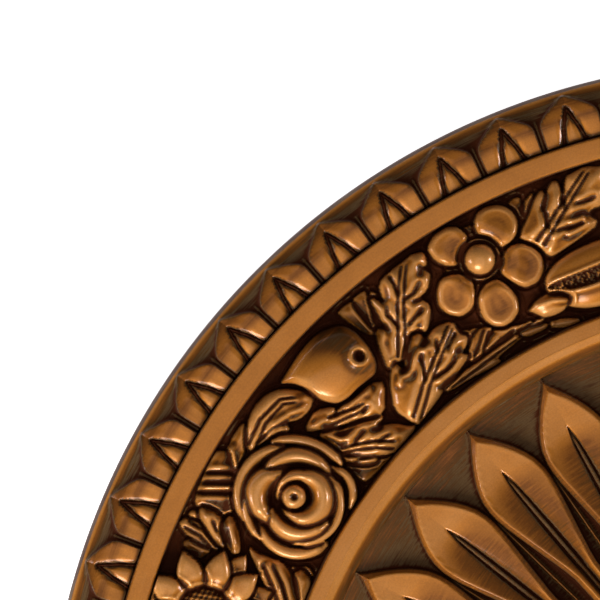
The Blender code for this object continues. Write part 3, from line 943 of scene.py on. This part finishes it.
def knob(relief, centre, radius, top, foot, moat=1.6, pattern=0.0):
    """A round boss, plain or cut with crossed grooves."""
    slant, wide_pitch, close_pitch = 0.45, 5.2, 3.4

    def form(x, y):
        dx, dy = x - centre[0], y - centre[1]
        ring = np.hypot(dx, dy) / radius
        crossed = np.cos(math.tau * (dx + slant * dy) / wide_pitch)
        crossed = crossed * np.cos(math.tau * (dy - slant * dx) / close_pitch)
        return (1.0 - ring) * radius, foot + (top - foot) * dome(ring, 2.2) + pattern * crossed

    relief.lay(centre, radius + 3.0, form, moat)


# The rose's petals, outer ones first: first and last angle in degrees, radius of the crest at either end, how
# far it bulges between, width, and height as a share of the rose's
ROSE_PETALS = (
    (-12, 40, 30.2, 24.0, 3.4, 6.0, 0.48),
    (34, 112, 29.8, 30.6, -0.9, 6.4, 0.54),
    (217, 304, 23.0, 30.2, 3.0, 7.6, 0.52),
    (102, 205, 26.0, 28.6, 1.8, 7.0, 0.56),
    (150, 232, 20.6, 28.6, 1.2, 5.4, 0.63),
    (272, 388, 24.7, 20.8, 3.2, 5.4, 0.66),
    (40, 137, 22.0, 20.0, 0.2, 6.6, 0.76),
    (120, 218, 14.0, 17.6, 3.6, 9.6, 0.86),
    (211, 320, 14.6, 22.0, 0.3, 7.6, 0.80),
    (20, 160, 13.8, 8.4, -0.4, 4.8, 0.93),
    (255, 440, 8.9, 10.6, 5.2, 8.4, 0.95),
)


def rose(relief, centre, radius, rise):
    """Crescent petals that overlap, each with a rolled rim and a cupped inner side, round a wound bud."""
    bud_radius, trough_radius, trough_depth = 6.7, 7.5, 2.0
    eye_radius, eye_depth, fold_radius, fold_depth, bud_edge = 2.4, 3.0, 5.2, 0.9, 2.5
    curl, end_drop, end_length, fall_past_end = 2.6, 2.4, 6.0, 1.5

    def form(x, y):
        dx, dy = x - centre[0], y - centre[1]
        ring, around = np.hypot(dx, dy), np.degrees(np.arctan2(dy, dx))
        height = rise * (0.20 + 0.30 * np.clip(1.0 - ring / radius, 0.0, 1.0))
        inside = 0.86 * radius - ring
        for first, last, start, end, bulge, width, share in ROSE_PETALS:
            sweep = last - first
            t = np.mod(around - first, 360.0) / sweep
            t = np.where(t > 0.5 + 180.0 / sweep, t - 360.0 / sweep, t)
            on = np.clip(t, 0.0, 1.0)
            crest = start + (end - start) * on + bulge * np.sin(math.pi * on)
            off = np.abs(t - on) * math.radians(sweep) * ring
            ends = 1.0 - smooth(np.minimum(on, 1.0 - on) * math.radians(sweep) * crest, 0.0, end_length)
            gap = ring - crest
            spread = 0.5 * width * (0.55 + 0.45 * np.sin(math.pi * on))
            body = curl * (np.abs(gap) / spread) ** 2.6 + np.where(gap < 0.0, -0.16 * gap, 0.05 * gap)
            top = rise * (share + 0.03) - body - end_drop * ends - fall_past_end * off
            height = np.maximum(height, top)
            inside = np.maximum(inside, 0.45 * width - np.abs(gap) - off - 1.2 * ends)
        bud = rise * (0.93 + 0.07 * smooth(-ring, -bud_radius, -eye_radius)) - eye_depth * hump(ring, 1.7)
        bud = bud - fold_depth * hump(ring - fold_radius, 0.8) * smooth(dx, -2.0, 3.0)
        bud = bud - bud_edge * smooth(ring - bud_radius, -1.6, 0.0)
        height = height - trough_depth * hump(ring - trough_radius, 1.0)
        return inside, np.where(ring < bud_radius, np.maximum(bud, height), height)

    relief.lay(centre, radius + 6.0, form, moat=2.2)


# The blossom's petals, each an outline from the medallion's centre
BLOSSOM_PETALS = (
    ((-153.8, 294.8), (-152.5, 299.3), (-148.7, 302.2), (-143.5, 303.5), (-138.4, 302.8), (-133.9, 299.9),
     (-131.3, 294.8), (-131.9, 289), (-135.1, 285.1), (-140, 282), (-142.2, 284.5), (-146, 287.7),
     (-152.8, 289)),
    ((-179, 280.6), (-175.4, 287.9), (-168.1, 292.2), (-162.6, 291.6), (-157.8, 286.7), (-161.5, 281),
     (-163.5, 277.5), (-163, 272.5), (-168.1, 272.1), (-174.2, 274.5)),
    ((-173.6, 258.7), (-171.6, 264.8), (-164.5, 267.2), (-157.2, 266), (-154.1, 259.9), (-154.7, 250.2),
     (-160.8, 245.3), (-168.1, 246.5), (-173, 251.4)),
    ((-151.9, 253.6), (-150.6, 258.8), (-146.7, 263), (-142, 264.5), (-135.8, 260.1), (-131.3, 254.3),
     (-130.7, 248.5), (-133.9, 243.4), (-138.4, 240.1), (-144.8, 240.8), (-149.9, 245.3)),
    ((-140.3, 269.1), (-138.5, 278), (-135.1, 281.9), (-129.4, 283.5), (-123.6, 281.9), (-118.4, 276.8),
     (-117.5, 270.4), (-120.4, 263.9), (-126.8, 260.7), (-131.9, 262.6), (-137.1, 265.9)),
)


def blossom(relief, centre, rise):
    """Five dished petals with a raised rim, round a button in its ring."""
    calyx_radius, outward, rim_rise, rim_in, dish_depth, throat_depth = 19.0, 0.9, 0.8, 2.2, 0.9, 3.2
    ring_radius, button_radius = 11.6, 8.5

    def calyx(x, y):
        return calyx_radius - np.hypot(x - centre[0], y - centre[1]), np.full(x.shape, 0.18 * rise)

    relief.lay(centre, calyx_radius + 3.0, calyx)
    for outline in BLOSSOM_PETALS:

        def form(x, y):
            inside = outline_gap(x, y, outline, cuts=3) + outward
            ring = np.hypot(x - centre[0], y - centre[1])
            height = rise * (0.62 - 0.26 * smooth(ring, 10.0, 31.0) + 0.26 * full_of(inside, 2.4))
            height = height + rim_rise * hump(inside - rim_in, 1.1) * smooth(ring, 13.0, 24.0)
            height = height - dish_depth * smooth(inside, 2.6, 8.5)
            height = height - throat_depth * (1.0 - smooth(ring, 9.0, 21.0))
            # Painted shade: each petal darkens towards the button
            painted_darkening = (0.28 * (1.0 - smooth(ring, 11.0, 25.0)) + 0.04) * smooth(inside, 0.5, 3.0)
            return inside, height, painted_darkening

        relief.lay(*reach_of(outline), form, moat=2.4)
    knob(relief, centre, ring_radius, 0.34 * rise, 0.28 * rise, moat=1.2)
    knob(relief, centre, button_radius, 0.95 * rise, 0.40 * rise, moat=2.6)


def daisy(relief, centre, rise):
    """Two rounds of pointed petals about a cross-cut boss."""
    count, boss_radius = 10, 14.8
    # First petal's angle in degrees, distance out, length, width and height as a share
    outer, inner = (54.8, 29.4, 19.0, 12.0, 0.62), (0.8, 24.0, 23.6, 14.8, 1.0)
    for first, off, length_along, width, share in (outer, inner):
        for i in range(count):
            degrees = first + 360.0 * i / count
            # The leaves above the flower stand where two of the outer petals would be
            if share < 1.0 and 80.0 < degrees % 360.0 < 150.0:
                continue
            turn, top = math.radians(degrees), rise * share
            middle = (centre[0] + off * math.cos(turn), centre[1] + off * math.sin(turn))
            daisy_petal(relief, middle, turn, length_along, width, top, 0.35 * top)
    knob(relief, centre, boss_radius, 0.86 * rise, 0.40 * rise, pattern=0.9)


# The fruit's outline from the medallion's centre
FRUIT = (
    (-257, 209.5), (-253, 216), (-247, 225.5), (-240, 234), (-234, 238.5), (-227.5, 241), (-221.5, 240),
    (-215.5, 236), (-209.5, 229), (-205.5, 221), (-206, 215), (-210.5, 211.5), (-215.5, 207.5),
    (-220.5, 202), (-226.5, 199), (-234, 200.5), (-239, 204), (-244, 208), (-250, 210),
)


def fruit(relief, centre, rise):
    """A pear-shaped fruit with a raised ring round its eye."""
    middle, axis, half_long, half_wide = (-227.4, 216.4), math.radians(25.0), 36.0, 22.5
    eye, ring_radius, ring_rise, eye_depth = (-214.9, 224.6), 4.6, 2.2, 4.5
    edge_drop, hollow_depth, hollow_radius, painted_highlight_place = 2.0, 0.3, 8.6, (-234.0, 212.0)
    reach = 42.0

    def form(x, y):
        inside = outline_gap(x, y, FRUIT, cuts=2)
        along, across = turned_to(x, y, middle, axis)
        spread = np.clip((along / half_long) ** 2 + (across / half_wide) ** 2, 0.0, 1.0)
        height = rise * (0.10 + 0.78 * np.sqrt(1.0 - 0.96 * spread) + 0.12 * (1.0 - spread))
        height = height - edge_drop * (1.0 - smooth(inside, 0.0, 4.0))
        from_eye = np.hypot(x - eye[0], y - eye[1])
        height = height + ring_rise * hump(from_eye - ring_radius, 1.6) - eye_depth * hump(from_eye, 2.4)
        below = smooth(np.sin(np.arctan2(eye[1] - y, x - eye[0])), -0.3, 0.6)
        height = height - hollow_depth * hump(from_eye - hollow_radius, 2.0) * below
        # Painted highlight and painted shade: bright round one place on the belly, darker away from it, not
        # at the eye
        from_painted_highlight = np.hypot(x - painted_highlight_place[0], y - painted_highlight_place[1])
        painted_darkening = 0.34 * smooth(from_painted_highlight, 8.0, 25.0) * smooth(from_eye, 4.0, 8.0)
        return inside, height, painted_darkening

    relief.lay(centre, reach, form)


# The husk's outline from the medallion's centre, and the ridge along it
CURL = (
    (-125, 248.5), (-121, 253.5), (-115.2, 257), (-108.8, 257.8), (-104, 255.5), (-104.5, 252),
    (-107.5, 248.5), (-112.6, 246), (-117.5, 245), (-122.5, 247.5),
)
CURL_RIDGE = ((-121.7, 251.5), (-112.7, 254), (-105.5, 254))


def pod(relief, centre, rise):
    """A split pod with its seeds in the slit, and a curled husk at its stem."""
    direction, half_long, half_wide, bend = math.radians(23.0), 28.5, 17.0, 0.004
    slit_off, slit_long, slit_wide, slit_depth, lip_rise = 0.6, 27.0, 4.0, 2.8, 0.9
    seed_rise, seed_length, seed_width = 1.5, 2.9, 2.6
    edge_scale, reach, husk_rise = 16.5, 34.0, 1.2

    def form(x, y):
        along, across = turned_to(x, y, centre, direction)
        across = across - bend * along**2
        ring = np.sqrt((along / half_long) ** 2 + (across / half_wide) ** 2)
        slit = across - slit_off
        open_half = slit_wide * dome(np.abs(along / slit_long), 2)
        height = rise * (0.40 + 0.60 * dome(ring, 2.4)) + 1.2 * hump(slit + open_half + 2.0, 2.0)
        opened = smooth(open_half - np.abs(slit), -0.5, 0.7)
        seeds = np.cos(math.tau * along / seed_length + 1.6 * np.sin(1.9 * slit))
        seeds = seeds * np.cos(math.tau * slit / seed_width + 1.2 * np.sin(0.9 * along))
        height = height - opened * (slit_depth - seed_rise * seeds)
        height = height + lip_rise * hump(np.abs(slit) - open_half - 1.1, 0.9)
        return (1.0 - ring) * edge_scale, height

    relief.lay(centre, reach, form)
    carved(relief, CURL, husk_rise, ridges=(CURL_RIDGE,))


def garland_relief(rings, garland):
    """The whole repeat, drawn from the back leaves to the rose."""
    fruit_place, pod_place, daisy_place = (-230.8, 220.3), (-89.0, 267.5), (-296.3, 88.2)
    blossom_place, rose_place, rose_radius = (-151.2, 275.2), (-249.0, 150.8), 30.8
    relief = Relief(rings, garland)
    for piece in LEAVES:
        leaf(relief, *piece)
    for piece in SEPAL_FAN + UNDER_BLOSSOM:
        carved(relief, *piece)
    fruit(relief, fruit_place, garland.fruit_rise)
    pod(relief, pod_place, garland.pod_rise)
    for piece in UPPER_LEAVES + LOWER_LEAVES:
        carved(relief, *piece)
    daisy(relief, daisy_place, garland.flower_rise)
    blossom(relief, blossom_place, garland.flower_rise)
    rose(relief, rose_place, rose_radius, garland.rose_rise)
    return relief


def glaze_of(height, step):
    """How much dark glaze a place keeps: most in creases and on steep sides, none on rubbed tops."""
    crease_reach, hollow_reach = 1.2, 5.0
    near, wide = (blurred(height, r / step, r / step) - height for r in (crease_reach, hollow_reach))
    steep = np.hypot(*np.gradient(height, step))
    floor = 1.0 - smooth(height, 0.3, 3.4)
    slopes = 0.24 * smooth(steep, 0.15, 1.0) + 0.12 * np.maximum(steep - 0.9, 0.0)
    low = 0.20 * (1.0 - smooth(height, 4.0, 11.0))
    hollow = 0.15 * np.maximum(wide, 0.0) + 0.04 * np.minimum(wide, 0.0)
    glaze = 0.25 + 0.90 * near + hollow + slopes + low + 0.43 * floor
    return np.clip(glaze + 0.24 * smooth(glaze, 0.46, 0.56), 0.0, 1.0)


def resampled(values, rows, columns):
    """Values read between the points of the grid, whose columns run round."""
    size = values.shape[1]
    low_row = np.clip(rows.astype(int), 0, values.shape[0] - 2)
    low_column = np.floor(columns).astype(int)
    down, right = rows - low_row, columns - low_column
    a, b = low_column % size, (low_column + 1) % size
    upper, lower = (values[row, a] * (1 - right) + values[row, b] * right for row in (low_row, low_row + 1))
    return upper * (1 - down) + lower * down


def garland_cell(rings, garland):
    """One repeat as a closed block, its rows drawn closer together where the relief is steep."""
    across, along, softening, crowding, painted_shade_cap = 108, 500, 0.9, 1.6, 0.45
    floor, under, wall_glaze = rings.sizes.garland_floor, rings.sizes.garland_floor - 4.0, 0.95
    relief = garland_relief(rings, garland)
    # Beside both bands the relief sinks under the floor
    edge, sunk = (0.3, 1.3), 1.0
    fade = smooth(relief.radius - relief.low, *edge) * smooth(relief.high - relief.radius, *edge)
    height = (blurred(relief.height, softening, softening) + sunk) * fade[:, None] - sunk
    glaze = glaze_of(height, garland.grid)
    # Painted shade of the fruit and the blossom darkens the glaze, at most to the cap
    glaze = np.maximum(glaze, np.minimum(glaze + relief.tone, painted_shade_cap))
    crowd = 1.0 + crowding * np.sqrt(np.abs(np.gradient(height, garland.grid, axis=0)))
    crowd = np.cumsum(blurred(crowd, 1.5, 12.0), axis=0)
    crowd = (crowd - crowd[0]) / (crowd[-1] - crowd[0])
    columns = np.linspace(0.0, height.shape[1], along + 1)
    picked = crowd[:, np.floor(columns).astype(int) % height.shape[1]]
    share = np.linspace(0.0, 1.0, across)
    rows = np.stack([np.interp(share, line, np.arange(len(line))) for line in picked.T], axis=1)
    columns = np.broadcast_to(columns, rows.shape)
    radius = relief.low + rows * (relief.high - relief.low) / (len(relief.radius) - 1)
    angle = garland.start + columns * relief.turn / height.shape[1]
    top, glaze = floor + resampled(height, rows, columns), resampled(glaze, rows, columns)
    walls = [(relief.high, under, wall_glaze), (relief.low, under, wall_glaze)]
    return cell_object("garland cell", radius, angle, top, glaze, walls, ends=True)


class MEDALLION_OT_garland(bpy.types.Operator):
    """Carve one repeat of the garland and set its copies round the ring"""

    bl_idname = "medallion.garland"
    bl_label = "Garland"

    def execute(self, context):
        garland = in_millimetres(context.scene.medallion_garland)
        cell = garland_cell(Rings(context.scene.medallion_rings), garland)
        material = bronze_paint(context.scene.medallion_finish)
        for i in range(garland.repeats):
            part = bpy.data.objects.new(f"garland part {i}", cell.data)
            bpy.context.scene.collection.objects.link(part)
            turn = math.tau * i / garland.repeats
            settle(ring_of(part, f"garland_{i + 1}", 1, turn, 0.0, material))
        bpy.data.objects.remove(cell)
        return {"FINISHED"}


# Finish


class FinishColours(bpy.types.PropertyGroup):
    """Colours of the rubbed paint, from the raised places to the recesses."""

    gold: colour("Rubbed bronze", "Raised places, rubbed bright", "#CB8C49")
    bronze: colour("Bronze", "Plain bands and broad faces", "#B47128")
    copper: colour("Red copper", "Slopes that keep some glaze", "#77461B")
    umber: colour("Brown", "Ground wiped to a brown film", "#5A3B1B")
    olive: colour("Thin glaze", "Flat ground with a film of glaze", "#665036")
    glaze: colour("Dark glaze", "Recesses full of glaze", "#432010")
    roughness: proportion("Roughness", "Satin of the paint", 0.38)
    metallic: proportion("Metallic", "Share of metal in the paint", 0.26)


def bronze_paint(finish):
    """Antique bronze paint on cast foam: a satin metallic coat, with dark glaze left in the recesses."""
    name = "antique_copper_and_bronze_paint"
    if name in bpy.data.materials:
        return bpy.data.materials[name]
    material = bpy.data.materials.new(name)
    material.use_nodes = True
    tree = material.node_tree
    shader = tree.nodes["Principled BSDF"]
    for socket, value in (
        ("Specular IOR Level", 0.05), ("Specular Tint", linear("#C89C78")), ("Coat Roughness", 0.19)
    ):
        shader.inputs[socket].default_value = value

    # Fine powder in the paint, coarser than the real grain so that it shows, and clouds of thinner glaze
    grain_size, cloud_size = 0.9, 24.0
    place = add_node(tree, "ShaderNodeTexCoord").outputs["Object"]
    grain = {"Vector": place, "Scale": 1.0 / (grain_size * MM), "Detail": 2.0}
    grain = add_node(tree, "ShaderNodeTexNoise", grain).outputs["Fac"]
    cloud = {"Vector": place, "Scale": 1.0 / (cloud_size * MM), "Detail": 4.0}
    cloud = add_node(tree, "ShaderNodeTexNoise", cloud).outputs["Fac"]
    # Glaze wiped off by hand, round the ring: the more a place lies in a recess, the more is left, in streaks
    streak_width, streak_length, streak_radius = 1.1, 16.0, 230.0
    # The glaze share read here also holds painted shade, painted shadows and painted highlights
    left = add_node(tree, "ShaderNodeAttribute", attribute_name="glaze").outputs["Fac"]
    part = add_node(tree, "ShaderNodeSeparateXYZ", {"Vector": place}).outputs
    flat = add_node(tree, "ShaderNodeCombineXYZ", {"X": part["X"], "Y": part["Y"]}).outputs[0]
    radius = add_node(tree, "ShaderNodeVectorMath", {0: flat}, operation="LENGTH").outputs["Value"]
    turn = add_node(tree, "ShaderNodeMath", {0: part["Y"], 1: part["X"]}, operation="ARCTAN2").outputs[0]
    widths = {0: radius, 1: 1.0 / (streak_width * MM)}
    widths = add_node(tree, "ShaderNodeMath", widths, operation="MULTIPLY").outputs[0]
    lengths = {0: turn, 1: streak_radius / streak_length}
    lengths = add_node(tree, "ShaderNodeMath", lengths, operation="MULTIPLY").outputs[0]
    brushed = add_node(tree, "ShaderNodeCombineXYZ", {"X": widths, "Y": lengths}).outputs[0]
    streak = {"Vector": brushed, "Scale": 1.0, "Detail": 2.0}
    streak = add_node(tree, "ShaderNodeTexNoise", streak).outputs["Fac"]
    strength = {"Value": left, "From Min": 0.30, "From Max": 0.55, "To Min": 0.06, "To Max": 0.80}
    strength = add_node(tree, "ShaderNodeMapRange", strength).outputs[0]
    shift = add_node(tree, "ShaderNodeMath", {0: streak, 1: 0.5}, operation="SUBTRACT").outputs[0]
    shift = add_node(tree, "ShaderNodeMath", {0: shift, 1: strength}, operation="MULTIPLY").outputs[0]
    wiped = {0: cloud, 1: 0.14, 2: -0.07}
    wiped = add_node(tree, "ShaderNodeMath", wiped, operation="MULTIPLY_ADD").outputs[0]
    for more in (shift, left):
        wiped = add_node(tree, "ShaderNodeMath", {0: more, 1: wiped}, operation="ADD").outputs[0]
    # Clear lacquer on the rubbed places gives thin whitish lights along their edges; the glaze is duller
    for socket, rubbed, glazed, bare, full in (
        ("Coat Weight", 0.85, 0.02, 0.10, 0.60),
        ("Metallic", finish.metallic, 0.02, 0.15, 0.60),
        ("Roughness", finish.roughness, finish.roughness + 0.16, 0.0, 1.0),
    ):
        shine = {"Value": wiped, "From Min": bare, "From Max": full, "To Min": rubbed, "To Max": glazed}
        shine = add_node(tree, "ShaderNodeMapRange", shine)
        tree.links.new(shine.outputs[0], shader.inputs[socket])
    ramp = add_node(tree, "ShaderNodeValToRGB", {"Fac": wiped})
    stops = ramp.color_ramp.elements
    stops[0].color, stops[1].color = linear(finish.gold), linear(finish.glaze)
    for share, paint in (
        (0.18, finish.bronze), (0.37, finish.copper), (0.47, finish.umber), (0.60, finish.olive),
        (0.86, finish.glaze),
    ):
        stops.new(share).color = linear(paint)
    speck = {"Value": grain, "From Min": 0.3, "From Max": 0.7, "To Min": 0.90, "To Max": 1.08}
    speck = add_node(tree, "ShaderNodeMapRange", speck).outputs[0]
    tint = {"Factor": 1.0, "A": ramp.outputs["Color"], "B": speck}
    tint = add_node(tree, "ShaderNodeMix", tint, data_type="RGBA", blend_type="MULTIPLY")
    tree.links.new(tint.outputs["Result"], shader.inputs["Base Color"])
    bump = {"Height": grain, "Strength": 0.16, "Distance": 0.12 * MM}
    bump = add_node(tree, "ShaderNodeBump", bump)
    tree.links.new(bump.outputs["Normal"], shader.inputs["Normal"])
    return material


# Stage


class StageSettings(bpy.types.PropertyGroup):
    """Camera over the part of the face that the picture shows, and the studio round it."""

    look_at: FloatVectorProperty(
        name="Look at",
        description="Place on the face under the camera",
        default=(-0.2459, 0.2538, 0.0),
        subtype="TRANSLATION",
    )
    distance: length("Distance", "Camera above the back", 2652.0)
    lens: FloatProperty(name="Lens", description="Focal length in millimetres", default=300.0)
    floor_size: length("Floor size", "Side of the pale floor", 9000.0)
    overhead_power: watts("Overhead light", "Soft light over the face", 32.0)
    key_power: watts("Key light", "Warm light from below", 116.0)
    side_power: watts("Side light", "Thin light from the right", 38.0)
    room_light: FloatProperty(name="Room light", description="Strength of the even light", default=0.08)
    warm: colour("Warm light", "Colour of the main lights", "#FFF8F0")
    cool: colour("Cool light", "Colour of the side lights", "#F2F4FF")


class MEDALLION_OT_stage(bpy.types.Operator):
    """Set the pale floor, the soft lights and the camera straight over the face"""

    bl_idname = "medallion.stage"
    bl_label = "Stage"

    def execute(self, context):
        scene, stage = context.scene, context.scene.medallion_stage
        half, floor_height = 0.5 * stage.floor_size, -0.5 * MM
        corners = [(half * x, half * y, floor_height) for x, y in ((-1, -1), (1, -1), (1, 1), (-1, 1))]
        mesh = bpy.data.meshes.new("floor")
        mesh.from_pydata(corners, [], [(0, 1, 2, 3)])
        floor = bpy.data.objects.new("floor", mesh)
        scene.collection.objects.link(floor)
        # White paper: matt, and lit from within so that it stays an even white behind the rim
        paper = bpy.data.materials.new("white_paper")
        paper.use_nodes = True
        shader = paper.node_tree.nodes["Principled BSDF"]
        for socket, value in (
            ("Base Color", linear("#F6F6F6")),
            ("Roughness", 0.9),
            ("Specular IOR Level", 0.0),
            ("Emission Color", (1.0, 1.0, 1.0, 1.0)),
            ("Emission Strength", 1.0),
        ):
            shader.inputs[socket].default_value = value
        mesh.materials.append(paper)
        lit_place = mathutils.Vector((-0.15, 0.15, 0.0))
        for name, place, size, power, tint in (
            ("overhead", (-0.3, -1.0, 3.3), 4.6, stage.overhead_power, stage.warm),
            ("key", (-0.9, -2.5, 1.6), 1.9, stage.key_power, stage.warm),
            ("right", (2.6, 0.2, 0.9), 0.8, stage.side_power, stage.cool),
            ("left", (-2.9, -0.4, 0.8), 0.8, 0.6 * stage.side_power, stage.cool),
        ):
            light = bpy.data.lights.new(name, "AREA")
            light.shape, light.size, light.energy = "DISK", size, power
            light.color = linear(tint)[:3]
            lamp = bpy.data.objects.new(name, light)
            lamp.location = place
            lamp.rotation_euler = (lit_place - lamp.location).to_track_quat("-Z", "Y").to_euler()
            scene.collection.objects.link(lamp)
        scene.world = bpy.data.worlds.new("studio")
        scene.world.use_nodes = True
        room = scene.world.node_tree.nodes["Background"]
        room.inputs["Color"].default_value = linear(stage.warm)
        room.inputs["Strength"].default_value = stage.room_light
        scene.view_settings.view_transform = "Standard"
        data = bpy.data.cameras.new("camera")
        data.lens, data.sensor_width, data.clip_end = stage.lens, 36.0, 50.0
        camera = bpy.data.objects.new("camera", data)
        camera.location = (stage.look_at[0], stage.look_at[1], stage.distance)
        scene.collection.objects.link(camera)
        scene.camera = camera
        return {"FINISHED"}


# Panel and registration


class MEDALLION_PT_panel(bpy.types.Panel):
    """Sizes, colours and the steps that make the medallion"""

    bl_idname = "MEDALLION_PT_panel"
    bl_label = "Ceiling medallion"
    bl_space_type = "VIEW_3D"
    bl_region_type = "UI"
    bl_category = "Medallion"

    def draw(self, context):
        for key, (label, group) in GROUPS.items():
            box = self.layout.box()
            box.label(text=label)
            for field in group.__annotations__:
                box.prop(getattr(context.scene, key), field)
        for step in STEPS:
            self.layout.operator(step.bl_idname)


GROUPS = {
    "medallion_rings": ("Rings", RingSizes),
    "medallion_border": ("Leaf border", BorderSizes),
    "medallion_rosette": ("Rosette", RosetteSizes),
    "medallion_garland": ("Garland", GarlandSizes),
    "medallion_finish": ("Finish", FinishColours),
    "medallion_stage": ("Stage", StageSettings),
}
STEPS = (
    MEDALLION_OT_stage,
    MEDALLION_OT_rings,
    MEDALLION_OT_leaf_border,
    MEDALLION_OT_rosette,
    MEDALLION_OT_garland,
)


def register():
    for key, (_, group) in GROUPS.items():
        bpy.utils.register_class(group)
        setattr(bpy.types.Scene, key, PointerProperty(type=group))
    for kind in STEPS + (MEDALLION_PT_panel,):
        bpy.utils.register_class(kind)


def unregister():
    for kind in reversed(STEPS + (MEDALLION_PT_panel,)):
        bpy.utils.unregister_class(kind)
    for key, (_, group) in reversed(GROUPS.items()):
        delattr(bpy.types.Scene, key)
        bpy.utils.unregister_class(group)


def main():
    """Makes every piece."""
    register()
    bpy.ops.medallion.stage()
    bpy.ops.medallion.rings()
    bpy.ops.medallion.leaf_border()
    bpy.ops.medallion.rosette()
    bpy.ops.medallion.garland()


if __name__ == "__main__":
    main()
